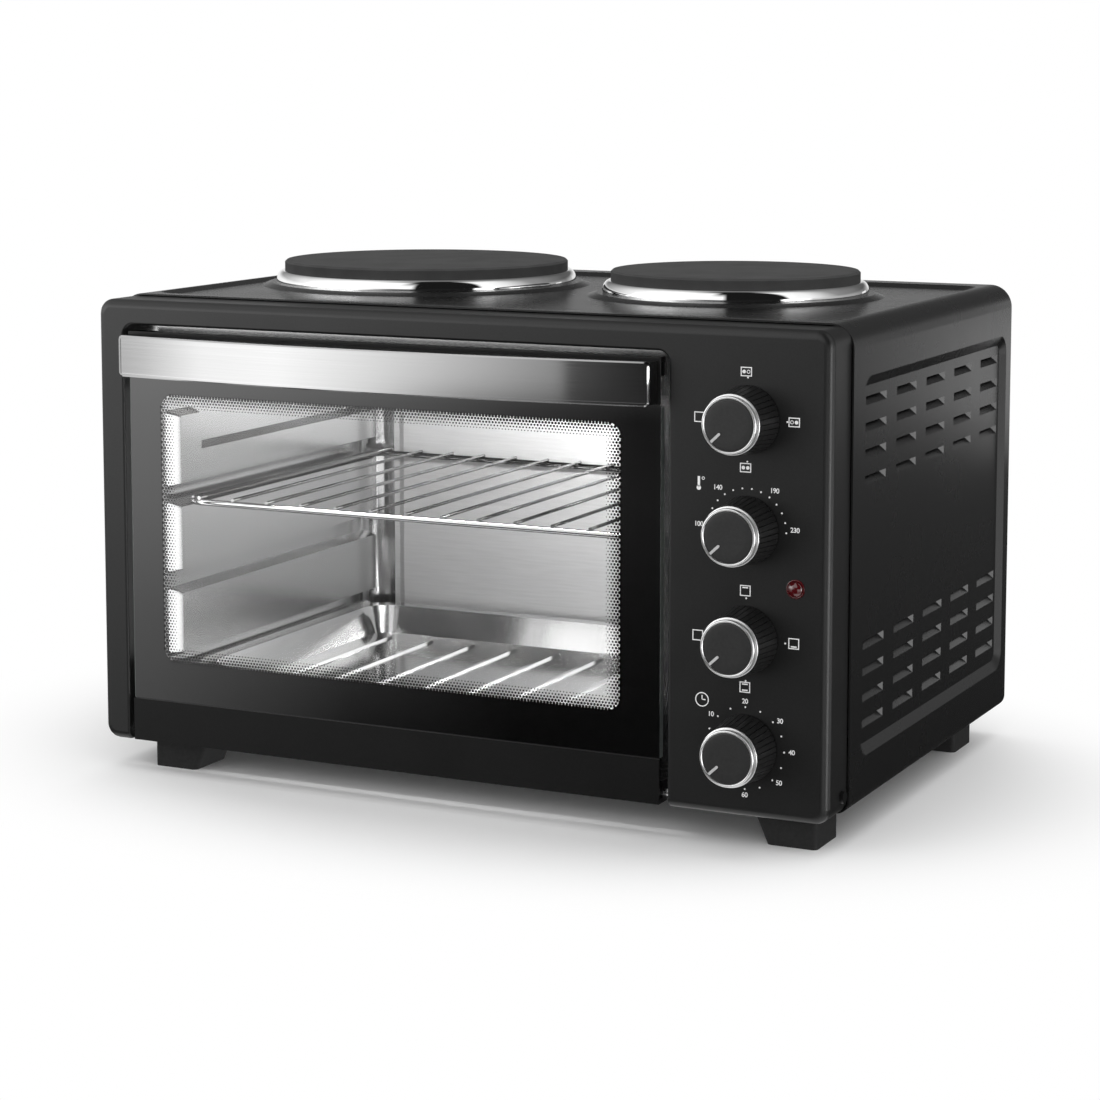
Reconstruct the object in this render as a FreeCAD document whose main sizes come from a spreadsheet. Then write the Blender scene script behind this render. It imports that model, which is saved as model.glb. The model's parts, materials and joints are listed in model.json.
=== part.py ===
import FreeCAD, Part
import math
import os
import re

import Sketcher

# Table-top oven with two hot plates. Millimetres, +Z up, front towards -Y,
# origin under the middle of the whole object, on the surface it stands on.

doc = FreeCAD.newDocument("MiniOven")
V = FreeCAD.Vector

# Driving sizes
SIZES = {
    # Casing
    "body_width": 480, "body_depth": 325, "body_height": 275, "metal": 1,
    "foot_height": 18, "foot_length": 34, "foot_width": 30, "foot_taper": 8, "foot_round": 3,
    "foot_left_margin": 29, "foot_right_margin": 13, "foot_front_margin": 14, "foot_rear_margin": 30,
    "wrap_top_radius": 14, "wrap_bottom_radius": 8, "wrap_hem": 12, "panel_gap": 0.3,
    "top_recess": 2, "top_recess_margin": 15, "top_recess_front": 8, "top_recess_slope": 7,
    "side_recess": 3, "side_recess_slope": 6, "side_recess_front": 17, "side_recess_rear": 10,
    "side_recess_low": 28, "side_recess_high": 31, "side_recess_radius": 12,
    "vent_length": 35, "vent_height": 5, "vent_depth": 4, "vent_slope": 4, "vent_row_pitch": 15,
    "vent_start": 11, "vent_end": 10, "vent_top_drop": 17, "vent_low_rise": 15, "vent_rows": 4,
    "vent_columns": 5,
    # Front frame
    "frame_depth": 30, "frame_inset": 1.5, "frame_wall": 3, "frame_corner": 9, "frame_edge": 5,
    "jamb_width": 18.5, "control_width": 96, "lintel_height": 15, "opening_corner": 7,
    # Oven cavity
    "mouth_setback": 18, "cavity_gap_left": 16.5, "cavity_gap_right": 17.5, "cavity_lift": 12,
    "cavity_head": 8.5, "cavity_length": 257, "guide_relief": 9, "guide_slope": 3, "guide_end": 8,
    "guide_start": 26, "guide_tray_height": 17.8, "guide_tray_slot": 6.2, "guide_low_height": 43.5,
    "guide_empty_slot": 9, "guide_mid_height": 45, "guide_rack_slot": 8.5, "guide_top_height": 25,
    "guide_tab_height": 23, "guide_tab_length": 29, "back_relief": 3, "back_relief_slope": 5,
    "back_relief_side": 22, "back_relief_low": 20, "back_relief_high": 66, "back_relief_radius": 10,
    # Heaters
    "heater_radius": 3.3, "heater_overhang": 12, "heater_front": 70, "heater_spacing": 115,
    "heater_upper_drop": 18, "heater_lower_rise": 7, "bush_radius": 5.5, "bush_in": 3, "bush_out": 5,
    "fit_clearance": 0.2, "bulb_radius": 2.5, "bulb_reach": 40, "bulb_drop": 13, "bulb_back": 140,
    # Hot plates
    "plate_left_radius": 92.5, "plate_right_radius": 77.5, "plate_left_x": 118, "plate_right_x": 100,
    "plate_y": 200, "plate_rim": 6.5, "plate_thickness": 13, "plate_skirt": 9, "plate_edge": 1.2,
    "ring_height": 7.5, "ring_flare": 5.5, "ring_metal": 0.8, "ring_lip": 6, "ring_steps": 5,
    "boss_height": 2, "boss_margin": 9, "boss_slope": 6, "stud_radius": 3, "stud_length": 15,
    "clamp_width": 18, "clamp_overlap": 9, "clamp_metal": 2, "nut_radius": 5, "nut_height": 4,
    # Door
    "door_gap": 4.5, "door_top_gap": 3.5, "door_lift": 1.5, "glass_metal": 4, "strip_height": 26,
    "strip_metal": 1.5, "strip_seat": 2.5, "heel_height": 12.5, "heel_depth": 6.5, "rail_height": 27,
    "rail_cap": 3, "rail_grip": 11, "hinge_back": 7, "hinge_rise": 7, "pin_radius": 2, "pin_in": 12,
    "pin_out": 7.5, "pin_clearance": 0.06, "bracket_metal": 2, "bracket_half": 5, "bracket_height": 24,
    "spring_wire": 0.6, "spring_pitch": 1.04, "spring_turns": 8, "spring_clearance": 0.3, "spring_leg": 16,
    "jamb_hole": 3, "handle_inset": 1.5, "handle_height": 25, "handle_drop": 1.5, "handle_metal": 2.5,
    "handle_reach": 14.5, "handle_bow": 12, "handle_corner": 3, "handle_bevel": 0.8, "handle_rim": 2,
    "handle_dish": 0.4, "core_height": 12.5, "core_end": 12, "core_inset": 0.5, "core_gap": 0.1,
    # Controls
    "dial_x": 49, "dial_low": 39.4, "dial_high": 52, "knob_radius": 19, "knob_front_radius": 16.6,
    "knob_length": 27, "knob_gap": 1, "knob_face_drop": 1, "flutes": 36, "flute_depth": 0.55,
    "flute_width": 1.6, "flute_clear": 1, "trim_radius": 16, "trim_width": 1.7, "trim_length": 4.5,
    "trim_bead": 0.6, "trim_collar": 1.4, "shaft_radius": 3, "shaft_in": 15, "shaft_knob": 14,
    "shaft_clearance": 0.5, "selector_radius": 18, "selector_depth": 26, "thermostat_width": 34,
    "thermostat_depth": 22, "timer_width": 44, "timer_depth": 36, "lamp_x": 20,
    "lamp_radius": 4.4, "lamp_flange": 5.4, "lamp_dome": 3, "lamp_shoulder": 2.4, "lamp_lip": 0.8,
    "lamp_body_radius": 3.6, "lamp_body_length": 20,
    # Rack and tray
    "rack_clearance": 5, "rack_front": 7, "rack_rear": 6, "rack_wire": 2, "rack_bar": 1.1,
    "rack_corner": 14, "rack_bars": 13, "rack_bar_margin": 12.05, "rack_weld": 0.4, "rack_double": 10,
    "rest_gap": 0.3, "tray_clearance": 4, "tray_front": 9, "tray_rear": 10, "tray_flange": 9,
    "tray_depth": 18, "tray_slope": 6, "tray_corner": 20, "tray_metal": 1, "tray_rib": 1.4,
    "tray_ribs": 9, "tray_rib_margin": 24, "tray_rib_end": 22,
    # Rear and fasteners
    "gland_reach": 8, "gland_radius": 9, "gland_bore": 4, "gland_in": 12, "gland_flange": 2,
    "gland_margin": 40, "gland_rise": 30, "slot_length": 34, "slot_height": 4, "slot_pitch": 10,
    "slot_count": 8, "slot_margin": 28, "slot_rise": 60, "block_length": 40, "block_width": 18,
    "block_height": 16, "block_back": 54, "screw_head": 3.5, "screw_dome": 2, "screw_radius": 1.75,
    "screw_length": 8, "screw_margin": 9, "frame_screw_rise": 12, "frame_screw_back": 22,
}

# Sizes worked out from the driving ones
WORKED_OUT = {
    "knob_reach": "knob_gap + knob_length",
    "handle_front": "handle_reach + handle_bow",
    "front": "(max(knob_reach, handle_front) - body_depth - gland_reach) / 2",
    "seam": "front + frame_depth",
    "back": "front + body_depth",
    "half": "body_width / 2",
    "base": "foot_height",
    "top": "foot_height + body_height",
    "top_panel": "top - top_recess",
    "boss_top": "top_panel + boss_height",
    "frame_half": "half - frame_inset",
    "frame_top": "top - frame_inset",
    "opening_left": "-frame_half + jamb_width",
    "opening_right": "frame_half - control_width",
    "opening_top": "frame_top - lintel_height",
    "mouth": "front + mouth_setback",
    "cavity_front": "mouth + metal",
    "cavity_back": "cavity_front + cavity_length",
    "cavity_left": "opening_left + cavity_gap_left",
    "cavity_right": "opening_right - cavity_gap_right",
    "cavity_floor": "base + cavity_lift",
    "cavity_top": "opening_top - cavity_head",
    "door_left": "opening_left + door_gap",
    "door_right": "opening_right - door_gap",
    "door_bottom": "base + door_lift",
    "door_top": "opening_top - door_top_gap",
    "glass_bottom": "door_bottom + strip_seat",
    "glass_top": "door_top - rail_cap",
    "rail_bottom": "door_top - rail_height",
    "hinge_y": "front + hinge_back",
    "hinge_z": "base + hinge_rise",
    "handle_left": "door_left + handle_inset",
    "handle_right": "door_right - handle_inset",
    "handle_top": "door_top - handle_drop",
    "handle_bottom": "handle_top - handle_height",
    "handle_middle": "(handle_left + handle_right) / 2",
    "handle_half": "(handle_right - handle_left) / 2",
    "handle_curve": "(handle_half * handle_half / handle_bow + handle_bow) / 2",
    "plate_bottom": "boss_top + ring_height",
    "plate_top": "plate_bottom + plate_rim",
    "plate_centre": "front + plate_y",
    "dial_centre": "half - dial_x - frame_inset",
    "dial_pitch": "(body_height - dial_low - dial_high) / 3",
    "guide_tray": "guide_start + guide_tray_height",
    "guide_low_pad": "guide_tray + guide_tray_slot",
    "guide_empty": "guide_low_pad + guide_low_height",
    "guide_mid_pad": "guide_empty + guide_empty_slot",
    "guide_rack": "guide_mid_pad + guide_mid_height",
    "guide_top_pad": "guide_rack + guide_rack_slot",
    "guide_top": "guide_top_pad + guide_top_height",
    "guide_tab_top": "guide_top + guide_tab_height",
    "guide_fall": "guide_slope / guide_relief",
    "rack_seat": "(rack_wire + rest_gap) * sqrt(1 + guide_fall * guide_fall)",
    "rack_z": "base + guide_rack - guide_fall * (rack_clearance + rack_wire) + rack_seat",
    "tray_rim": "base + guide_tray - guide_fall * tray_clearance + rest_gap",
}

sheet = doc.addObject("Spreadsheet::Sheet", "Size")
for row, (name, size) in enumerate(SIZES.items(), 1):
    sheet.set(f"A{row}", name)
    sheet.set(f"B{row}", str(size))
    sheet.setAlias(f"B{row}", name)
for row, (name, formula) in enumerate(WORKED_OUT.items(), 1):
    sheet.set(f"C{row}", name)
    sheet.setAlias(f"D{row}", name)
    sheet.set(f"D{row}", "=" + formula)
doc.recompute()
ALIASES = set(SIZES) | set(WORKED_OUT)
subparts = []


def in_sheet(text):
    """An expression with the sheet's name in front of each of its aliases."""
    return re.sub(r"[a-z]\w*", lambda word: f"Size.{word[0]}" if word[0] in ALIASES else word[0], text)


def size(text):
    """The value of an expression over the sheet's aliases."""
    return float(sheet.evalExpression(in_sheet(text)))


def bind(item, **formulas):
    """Tie an object's properties to the sheet; at= gives its three coordinates."""
    for axis, formula in zip("xyz", formulas.pop("at", ())):
        item.setExpression(f"Placement.Base.{axis}", in_sheet(formula))
    for name, formula in formulas.items():
        item.setExpression(name, in_sheet(formula))
    return item


def keep(item, label):
    """Name a finished sub-part and put it on the list that is written out."""
    item.Label = label
    subparts.append(item)
    return item


def box(x, y, z, name="Block"):
    """A block between the given pairs of coordinates."""
    item = doc.addObject("Part::Box", name)
    spans = {"Length": x, "Width": y, "Height": z}
    bind(item, at=(x[0], y[0], z[0]), **{key: f"{b} - ({a})" for key, (a, b) in spans.items()})
    return item


TURNS = {
    "x": FreeCAD.Rotation(V(0, 1, 0), 90),
    "y": FreeCAD.Rotation(V(1, 0, 0), -90),
    "z": FreeCAD.Rotation(),
}


def rod(radius, at, length, axis, name="Rod"):
    """A round bar from a point along +X, +Y or +Z."""
    item = doc.addObject("Part::Cylinder", name)
    item.Placement.Rotation = TURNS[axis]
    return bind(item, at=at, Radius=radius, Height=length)


def join(*items):
    """Several objects as one; pieces that don't touch stay separate solids."""
    item = doc.addObject("Part::MultiFuse", "Join")
    item.Shapes = list(items)
    return item


def cut(item, *tools):
    """An object less one or more others."""
    result = doc.addObject("Part::Cut", "Cut")
    result.Base = item
    result.Tool = tools[0] if len(tools) == 1 else join(*tools)
    return result


def overlap(item, other):
    """What two objects share."""
    result = doc.addObject("Part::Common", "Overlap")
    result.Base = item
    result.Tool = other
    return result


def shaped(shape, label):
    """A finished sub-part whose shape is worked out from the sheet's values."""
    item = doc.addObject("Part::Feature", label)
    item.Shape = shape
    return keep(item, label)


def plane(body, role):
    return next(item for item in body.Origin.OriginFeatures if item.Role == role)


def outline(body, role, points, name="Outline"):
    """A closed sketch of straight lines through points given as pairs of expressions."""
    sketch = body.newObject("Sketcher::SketchObject", name)
    sketch.AttachmentSupport = [(plane(body, role), "")]
    sketch.MapMode = "FlatFace"
    places = [(size(a), size(b)) for a, b in points]
    count = len(places)
    for index, start in enumerate(places):
        end = places[(index + 1) % count]
        sketch.addGeometry(Part.LineSegment(V(*start), V(*end)), False)
    for index in range(count):
        sketch.addConstraint(Sketcher.Constraint("Coincident", index, 2, (index + 1) % count, 1))
    for index, (place, formulas) in enumerate(zip(places, points)):
        for kind, value, formula in zip(("DistanceX", "DistanceY"), place, formulas):
            number = sketch.addConstraint(Sketcher.Constraint(kind, index, 1, value))
            sketch.setExpression(f"Constraints[{number}]", in_sheet(formula))
    return sketch


def circles(body, role, rounds, name="Holes"):
    """A sketch of circles, each given by its centre and radius as expressions."""
    sketch = body.newObject("Sketcher::SketchObject", name)
    sketch.AttachmentSupport = [(plane(body, role), "")]
    sketch.MapMode = "FlatFace"
    for index, (a, b, radius) in enumerate(rounds):
        centre = V(size(a), size(b))
        sketch.addGeometry(Part.Circle(centre, V(0, 0, 1), size(radius)), False)
        values = (("DistanceX", (index, 3, centre.x), a), ("DistanceY", (index, 3, centre.y), b),
                  ("Radius", (index, size(radius)), radius))
        for kind, terms, formula in values:
            number = sketch.addConstraint(Sketcher.Constraint(kind, *terms))
            sketch.setExpression(f"Constraints[{number}]", in_sheet(formula))
    return sketch


def pad(body, sketch, length, backwards=False):
    item = body.newObject("PartDesign::Pad", "Pad")
    item.Profile = sketch
    item.Reversed = backwards
    return bind(item, Length=length)


def pocket(body, sketch, length, backwards=False):
    item = body.newObject("PartDesign::Pocket", "Pocket")
    item.Profile = sketch
    item.Reversed = backwards
    return bind(item, Length=length)


def rounded(body, chosen, radius):
    """Fillet the edges of the body's last feature that a test picks."""
    doc.recompute()
    feature = body.Tip
    names = [f"Edge{number}" for number, edge in enumerate(feature.Shape.Edges, 1) if chosen(edge)]
    item = body.newObject("PartDesign::Fillet", "Rounded")
    item.Base = (feature, names)
    return bind(item, Radius=radius)


def turned(label, points, at, axis="z"):
    """A solid of revolution from (radius, height) points, its axis along +Z, or +Y for axis y."""
    body = doc.addObject("PartDesign::Body", label)
    sketch = outline(body, "XZ_Plane", points)
    item = body.newObject("PartDesign::Revolution", "Turned")
    item.Profile = sketch
    item.ReferenceAxis = (sketch, ["V_Axis"])
    item.Angle = 360
    body.Placement.Rotation = TURNS[axis]
    return bind(body, at=at)


def along(edge, direction):
    """Whether a straight edge runs along a direction."""
    if edge.Curve.TypeId != "Part::GeomLine":
        return False
    return abs(edge.tangentAt(edge.FirstParameter).dot(V(*direction))) > 0.999


def near(value, formula, within=0.01):
    return abs(value - size(formula)) < within


def rounded_wire(low, high, radius, place):
    """A rectangle with round corners in a plane; place turns (a, b) into a point."""
    (a0, b0), (a1, b1) = low, high
    r = radius
    k = r * (1 - math.sqrt(0.5))
    corners = [((a1 - r, b0), (a1 - k, b0 + k), (a1, b0 + r)), ((a1, b1 - r), (a1 - k, b1 - k), (a1 - r, b1)),
               ((a0 + r, b1), (a0 + k, b1 - k), (a0, b1 - r)), ((a0, b0 + r), (a0 + k, b0 + k), (a0 + r, b0))]
    edges = []
    for index, corner in enumerate(corners):
        edges.append(Part.Arc(*[place(*point) for point in corner]).toShape())
        following = corners[(index + 1) % 4][0]
        edges.append(Part.LineSegment(place(*corner[2]), place(*following)).toShape())
    return Part.Wire(edges)


def pressed(low, high, radius, slope, place_start, place_end):
    """A tapered block between a rounded rectangle and the same one drawn in by a slope."""
    inner_low = (low[0] + slope, low[1] + slope)
    inner_high = (high[0] - slope, high[1] - slope)
    start = rounded_wire(low, high, radius, place_start)
    end = rounded_wire(inner_low, inner_high, max(radius - slope, radius / 3), place_end)
    return Part.makeLoft([start, end], True, True)


def at_x(x):
    return lambda y, z: V(x, y, z)


def at_y(y):
    return lambda x, z: V(x, y, z)


def at_z(z):
    return lambda x, y: V(x, y, z)


# Outer wrapper: one sheet bent over the left side, the top and the right side
def casing_face(inset, y):
    """The wrapper's section across the body, drawn in by an inset."""
    x = size("half") - inset
    low = size("base") + inset
    high = size("top") - inset
    radius = {low: size("wrap_bottom_radius") - inset, high: size("wrap_top_radius") - inset}
    edges = []
    ends = []
    for side, z in ((1, low), (1, high), (-1, high), (-1, low)):
        r = radius[z]
        k = r * (1 - math.sqrt(0.5))
        up = 1 if z == low else -1
        flat = V(side * (x - r), y, z)
        upright = V(side * x, y, z + up * r)
        middle = V(side * (x - k), y, z + up * k)
        first, last = (flat, upright) if side * up > 0 else (upright, flat)
        edges.append(Part.Arc(first, middle, last).toShape())
        ends.append((first, last))
    lines = []
    for index, (first, last) in enumerate(ends):
        lines.append(Part.LineSegment(last, ends[(index + 1) % 4][0]).toShape())
    ordered = [edge for pair in zip(edges, lines) for edge in pair]
    return Part.Face(Part.Wire(ordered))


def vent(x, side, y, z, depth, grow):
    """A pressed vent: flush below and at both ends, slanting inwards to an open upper edge."""
    rear = y + size("vent_length")
    high = z + size("vent_height")
    slope = size("vent_slope")
    deep = x - side * depth
    low_front = V(x, y - grow, z - grow)
    low_rear = V(x, rear + grow, z - grow)
    high_front = V(x, y - grow, high)
    high_rear = V(x, rear + grow, high)
    inner_front = V(deep, y + slope - grow, high)
    inner_rear = V(deep, rear - slope + grow, high)
    sides = [(low_front, low_rear, high_rear, high_front), (high_front, high_rear, inner_rear, inner_front),
             (low_front, inner_front, inner_rear, low_rear), (low_front, high_front, inner_front),
             (low_rear, inner_rear, high_rear)]
    faces = [Part.Face(Part.makePolygon([*points, points[0]])) for points in sides]
    solid = Part.makeSolid(Part.makeShell(faces))
    return solid if solid.Volume > 0 else solid.reversed()


def vent_places():
    """The front lower corner of each vent, in a high and a low group of rows."""
    first = size("seam + side_recess_front + vent_start")
    last = size("back - side_recess_rear - vent_end - vent_length")
    columns = int(size("vent_columns"))
    pitch = (last - first) / (columns - 1)
    row_pitch = size("vent_row_pitch")
    highest = size("top - side_recess_high - vent_top_drop")
    lowest = size("base + side_recess_low + vent_low_rise")
    rows = range(int(size("vent_rows")))
    heights = [highest - row_pitch * row for row in rows]
    heights += [lowest + row_pitch * row for row in rows]
    return [(first + pitch * column, z) for z in heights for column in range(columns)]


def outer_wrapper():
    metal = size("metal")
    y0 = size("seam")
    y1 = size("back")
    half = size("half")
    base = size("base")
    top = size("top")
    wrap = casing_face(0, y0).extrude(V(0, y1 - y0, 0))
    wrap = wrap.cut(casing_face(metal, y0).extrude(V(0, y1 - y0, 0)))
    hem = size("wrap_hem")
    wrap = wrap.cut(Part.makeBox(2 * (half - hem), y1 - y0, 2 * metal, V(hem - half, y0, base - metal)))

    # Shallow pressed field in the top, with a raised round seat for each spill ring
    margin = size("top_recess_margin")
    low = (margin - half, y0 + size("top_recess_front"))
    high = (half - margin, y1 - margin)
    slope = size("top_recess_slope")
    panel = size("top_panel")
    added = [pressed(low, high, margin, slope, at_z(top - metal), at_z(panel - metal))]
    taken = [pressed(low, high, margin, slope, at_z(top), at_z(panel))]
    bosses = []
    holes = []
    for x, radius in (("-plate_left_x", "plate_left_radius"), ("plate_right_x", "plate_right_radius")):
        seat = size(f"{radius} + boss_margin")
        foot = seat + size("boss_slope")
        rise = size("boss_height")
        centre = V(size(x), size("plate_centre"), panel)
        below = centre - V(0, 0, metal)
        bosses.append(Part.makeCone(foot, seat, rise, centre))
        holes.append(Part.makeCone(foot, seat, rise, below))
        holes.append(Part.makeCylinder(size(f"{radius} - plate_skirt + clamp_metal"), 3 * rise, below))

    # Pressed field with vents in each side
    depth = size("side_recess")
    low = (y0 + size("side_recess_front"), base + size("side_recess_low"))
    high = (y1 - size("side_recess_rear"), top - size("side_recess_high"))
    radius = size("side_recess_radius")
    slope = size("side_recess_slope")
    vent_depth = size("vent_depth")
    for side in (1, -1):
        face = side * half
        floor = side * (half - depth)
        added.append(pressed(low, high, radius, slope, at_x(face - side * metal), at_x(floor - side * metal)))
        taken.append(pressed(low, high, radius, slope, at_x(face), at_x(floor)))
        for y, z in vent_places():
            added.append(vent(floor - side * metal / 2, side, y, z, vent_depth + metal, metal))
            taken.append(vent(floor, side, y, z, vent_depth, 0))
    wrap = wrap.multiFuse(added).cut(Part.makeCompound(taken))
    return wrap.multiFuse(bosses).cut(Part.makeCompound(holes)).removeSplitter()


shaped(outer_wrapper(), "outer_wrapper")

# Places of the rear panel's screws; the two low ones also go through the base pan's rim
screw_x = "half - metal - panel_gap - screw_margin - wrap_top_radius"
screw_edge = "half - metal - panel_gap - screw_margin"
screw_mid = "(base + top) / 2"
screw_low = "base + metal + panel_gap + screw_margin"
screw_high = "top - metal - panel_gap - screw_margin"
rear_screws = [(f"{sign} * ({x})", z) for sign in (1, -1)
               for x, z in ((screw_x, screw_low), (screw_x, screw_high), (screw_edge, screw_mid))]


def screw_hole(x, z):
    return rod("screw_radius + fit_clearance", (x, "back - 4 * metal", z), "5 * metal", "y")


# Base pan with upturned edges, and the closed back
side = "half - wrap_hem - panel_gap"
pan_front = "seam + panel_gap"
pan_back = "back - metal - 2 * panel_gap"
rim = ("base", "base + wrap_hem")
rear_rim = ("base", f"{screw_low} + screw_head")
pan = join(
    box((f"-({side})", side), (pan_front, pan_back), ("base", "base + metal")),
    box((f"-({side})", f"-({side}) + metal"), (pan_front, pan_back), rim),
    box((f"{side} - metal", side), (pan_front, pan_back), rim),
    box((f"-({side})", side), (f"{pan_back} - metal", pan_back), rear_rim),
)
keep(cut(pan, *[screw_hole(x, z) for x, z in rear_screws if z == screw_low]), "base_pan")

blank = doc.addObject("Part::Feature", "RearBlank")
blank.Shape = casing_face(size("metal + panel_gap"), size("back - metal")).extrude(V(0, size("metal"), 0))
gland_x = "half - gland_margin"
gland_z = "base + gland_rise"
openings = [rod("gland_radius + fit_clearance", (gland_x, "back - 2 * metal", gland_z), "3 * metal", "y")]
for left in ("half - slot_margin - slot_length", "slot_margin - half"):
    for number in range(int(size("slot_count"))):
        low = f"base + slot_rise + {number} * slot_pitch"
        slot = ((left, f"{left} + slot_length"), ("back - 2 * metal", "back + metal"))
        openings.append(box(*slot, (low, f"{low} + slot_height")))
openings += [screw_hole(x, z) for x, z in rear_screws]
keep(cut(blank, *openings), "rear_panel")


def screw(at, axis, inwards):
    """A pan-head screw: a head on the surface at a point and a shank behind it."""
    x, y, z = at
    if axis == "y":
        head = rod("screw_head", at, "screw_dome", axis)
        shank = rod("screw_radius", (x, f"{y} - screw_length", z), "screw_length", axis)
    else:
        start, inner = (x, f"{x} - screw_length") if inwards < 0 else (f"{x} - screw_dome", x)
        head = rod("screw_head", (start, y, z), "screw_dome", axis)
        shank = rod("screw_radius", (inner, y, z), "screw_length", axis)
    return join(head, shank)


keep(join(*[screw((x, "back", z), "y", -1) for x, z in rear_screws]), "rear_panel_screws")
frame_screw = ("front + frame_screw_back", "base + frame_screw_rise")
keep(join(screw(("frame_half", *frame_screw), "x", -1), screw(("-frame_half", *frame_screw), "x", 1)),
     "frame_screws")

# Cord gland in the back and the terminal block behind the controls
gland = join(
    rod("gland_radius", (gland_x, "back - gland_in", gland_z), "gland_in + gland_reach", "y"),
    rod("gland_radius + gland_flange", (gland_x, "back", gland_z), "gland_flange", "y"),
)
gland_hole = rod("gland_bore", (gland_x, "back - 2 * gland_in", gland_z), "4 * gland_in", "y")
keep(cut(gland, gland_hole), "cord_gland")
keep(box((f"{gland_x} - block_length / 2", f"{gland_x} + block_length / 2"),
         (f"{pan_back} - block_back - block_width", f"{pan_back} - block_back"),
         ("base + metal", "base + metal + block_height")), "terminal_block")

# Front frame: a hollow bezel with the door opening on the left and the control panel on the right
dials = {
    "hotplate": "base + dial_low + 3 * dial_pitch",
    "thermostat": "base + dial_low + 2 * dial_pitch",
    "function": "base + dial_low + dial_pitch",
    "timer": "base + dial_low",
}
lamp = ("half - frame_inset - lamp_x", "base + dial_low + 1.5 * dial_pitch")
frame = bind(doc.addObject("PartDesign::Body", "FrameBody"), at=("0", "front", "0"))
border = [("-frame_half", "base"), ("-frame_half", "frame_top"), ("frame_half", "frame_top"),
          ("frame_half", "base"), ("opening_right", "base"), ("opening_right", "opening_top"),
          ("opening_left", "opening_top"), ("opening_left", "base")]
pad(frame, outline(frame, "XZ_Plane", border), "frame_depth", backwards=True)


def middle(edge):
    return edge.valueAt((edge.FirstParameter + edge.LastParameter) / 2)


def at_front(edge):
    return all(near(vertex.Y, "0") for vertex in edge.Vertexes)


def in_opening(edge):
    point = middle(edge)
    across = size("opening_left") - 0.01 < point.x < size("opening_right") + 0.01
    return across and point.z < size("opening_top") + 0.01


rounded(frame, lambda edge: along(edge, (0, 1, 0)) and near(abs(middle(edge).x), "frame_half"),
        "frame_corner")
rounded(frame, lambda edge: along(edge, (0, 1, 0)) and near(middle(edge).z, "opening_top"), "opening_corner")
rounded(frame, lambda edge: at_front(edge) and not in_opening(edge), "frame_edge")
rounded(frame, lambda edge: at_front(edge) and in_opening(edge), "frame_wall / 2")
hollow = [("-frame_half + frame_wall", "base + frame_wall"),
          ("-frame_half + frame_wall", "frame_top - frame_wall"),
          ("frame_half - frame_wall", "frame_top - frame_wall"),
          ("frame_half - frame_wall", "base + frame_wall"),
          ("opening_right + frame_wall", "base + frame_wall"),
          ("opening_right + frame_wall", "opening_top + frame_wall"),
          ("opening_left - frame_wall", "opening_top + frame_wall"),
          ("opening_left - frame_wall", "base + frame_wall")]
inside = outline(frame, "XZ_Plane", hollow, "Hollow")
inside.setExpression("AttachmentOffset.Base.z", in_sheet("-frame_wall"))
pocket(frame, inside, "frame_depth")
panel_holes = [("dial_centre", z, "shaft_radius + shaft_clearance") for z in dials.values()]
panel_holes.append((*lamp, "lamp_radius + fit_clearance"))
pocket(frame, circles(frame, "XZ_Plane", panel_holes), "2 * frame_wall")
side_holes = [
    rod("jamb_hole", ("opening_left - 2 * frame_wall", "hinge_y", "hinge_z"), "3 * frame_wall", "x"),
    rod("jamb_hole", ("opening_right - frame_wall", "hinge_y", "hinge_z"), "3 * frame_wall", "x"),
    rod("screw_radius + fit_clearance", ("frame_half - 2 * frame_wall", *frame_screw), "3 * frame_wall", "x"),
    rod("screw_radius + fit_clearance", ("-frame_half - frame_wall", *frame_screw), "3 * frame_wall", "x"),
]
keep(cut(frame, *side_holes), "front_frame")

# Oven cavity: a mouth plate behind the door opening and five walls of bright sheet
mouth_plate = bind(doc.addObject("PartDesign::Body", "MouthBody"), at=("0", "mouth", "0"))
mouth_edge = [("opening_left", "base"), ("opening_left", "opening_top"), ("opening_right", "opening_top"),
              ("opening_right", "base")]
pad(mouth_plate, outline(mouth_plate, "XZ_Plane", mouth_edge), "metal", backwards=True)
rounded(mouth_plate, lambda edge: along(edge, (0, 1, 0)) and near(middle(edge).z, "opening_top"),
        "opening_corner")
mouth_hole = [("cavity_left", "cavity_floor"), ("cavity_left", "cavity_top"), ("cavity_right", "cavity_top"),
              ("cavity_right", "cavity_floor")]
pocket(mouth_plate, outline(mouth_plate, "XZ_Plane", mouth_hole), "metal")
mouth_sill = box(("opening_left", "opening_right"), ("mouth + metal", "seam"), ("base", "base + metal"))
keep(join(mouth_plate, mouth_sill), "cavity_mouth")

heater_z = {"upper": "cavity_top - heater_upper_drop", "lower": "cavity_floor + heater_lower_rise"}
heater_y = {"front": "cavity_front + heater_front", "rear": "cavity_front + heater_front + heater_spacing"}
bulb = ("cavity_front + bulb_back", "cavity_top - bulb_drop")


def guide_pads():
    """Low, high, front and rear limits of the pads pressed into a side wall; racks slide between them."""
    front = size("cavity_front + metal")
    rear = size("cavity_back - guide_end")
    heights = (("guide_start", "guide_tray"), ("guide_low_pad", "guide_empty"),
               ("guide_mid_pad", "guide_rack"), ("guide_top_pad", "guide_top"))
    pads = [(size(f"base + {low}"), size(f"base + {high}"), front, rear) for low, high in heights]
    tab_end = front + size("guide_tab_length")
    pads.append((size("base + guide_top_pad"), size("base + guide_tab_top"), front, tab_end))
    return pads


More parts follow.
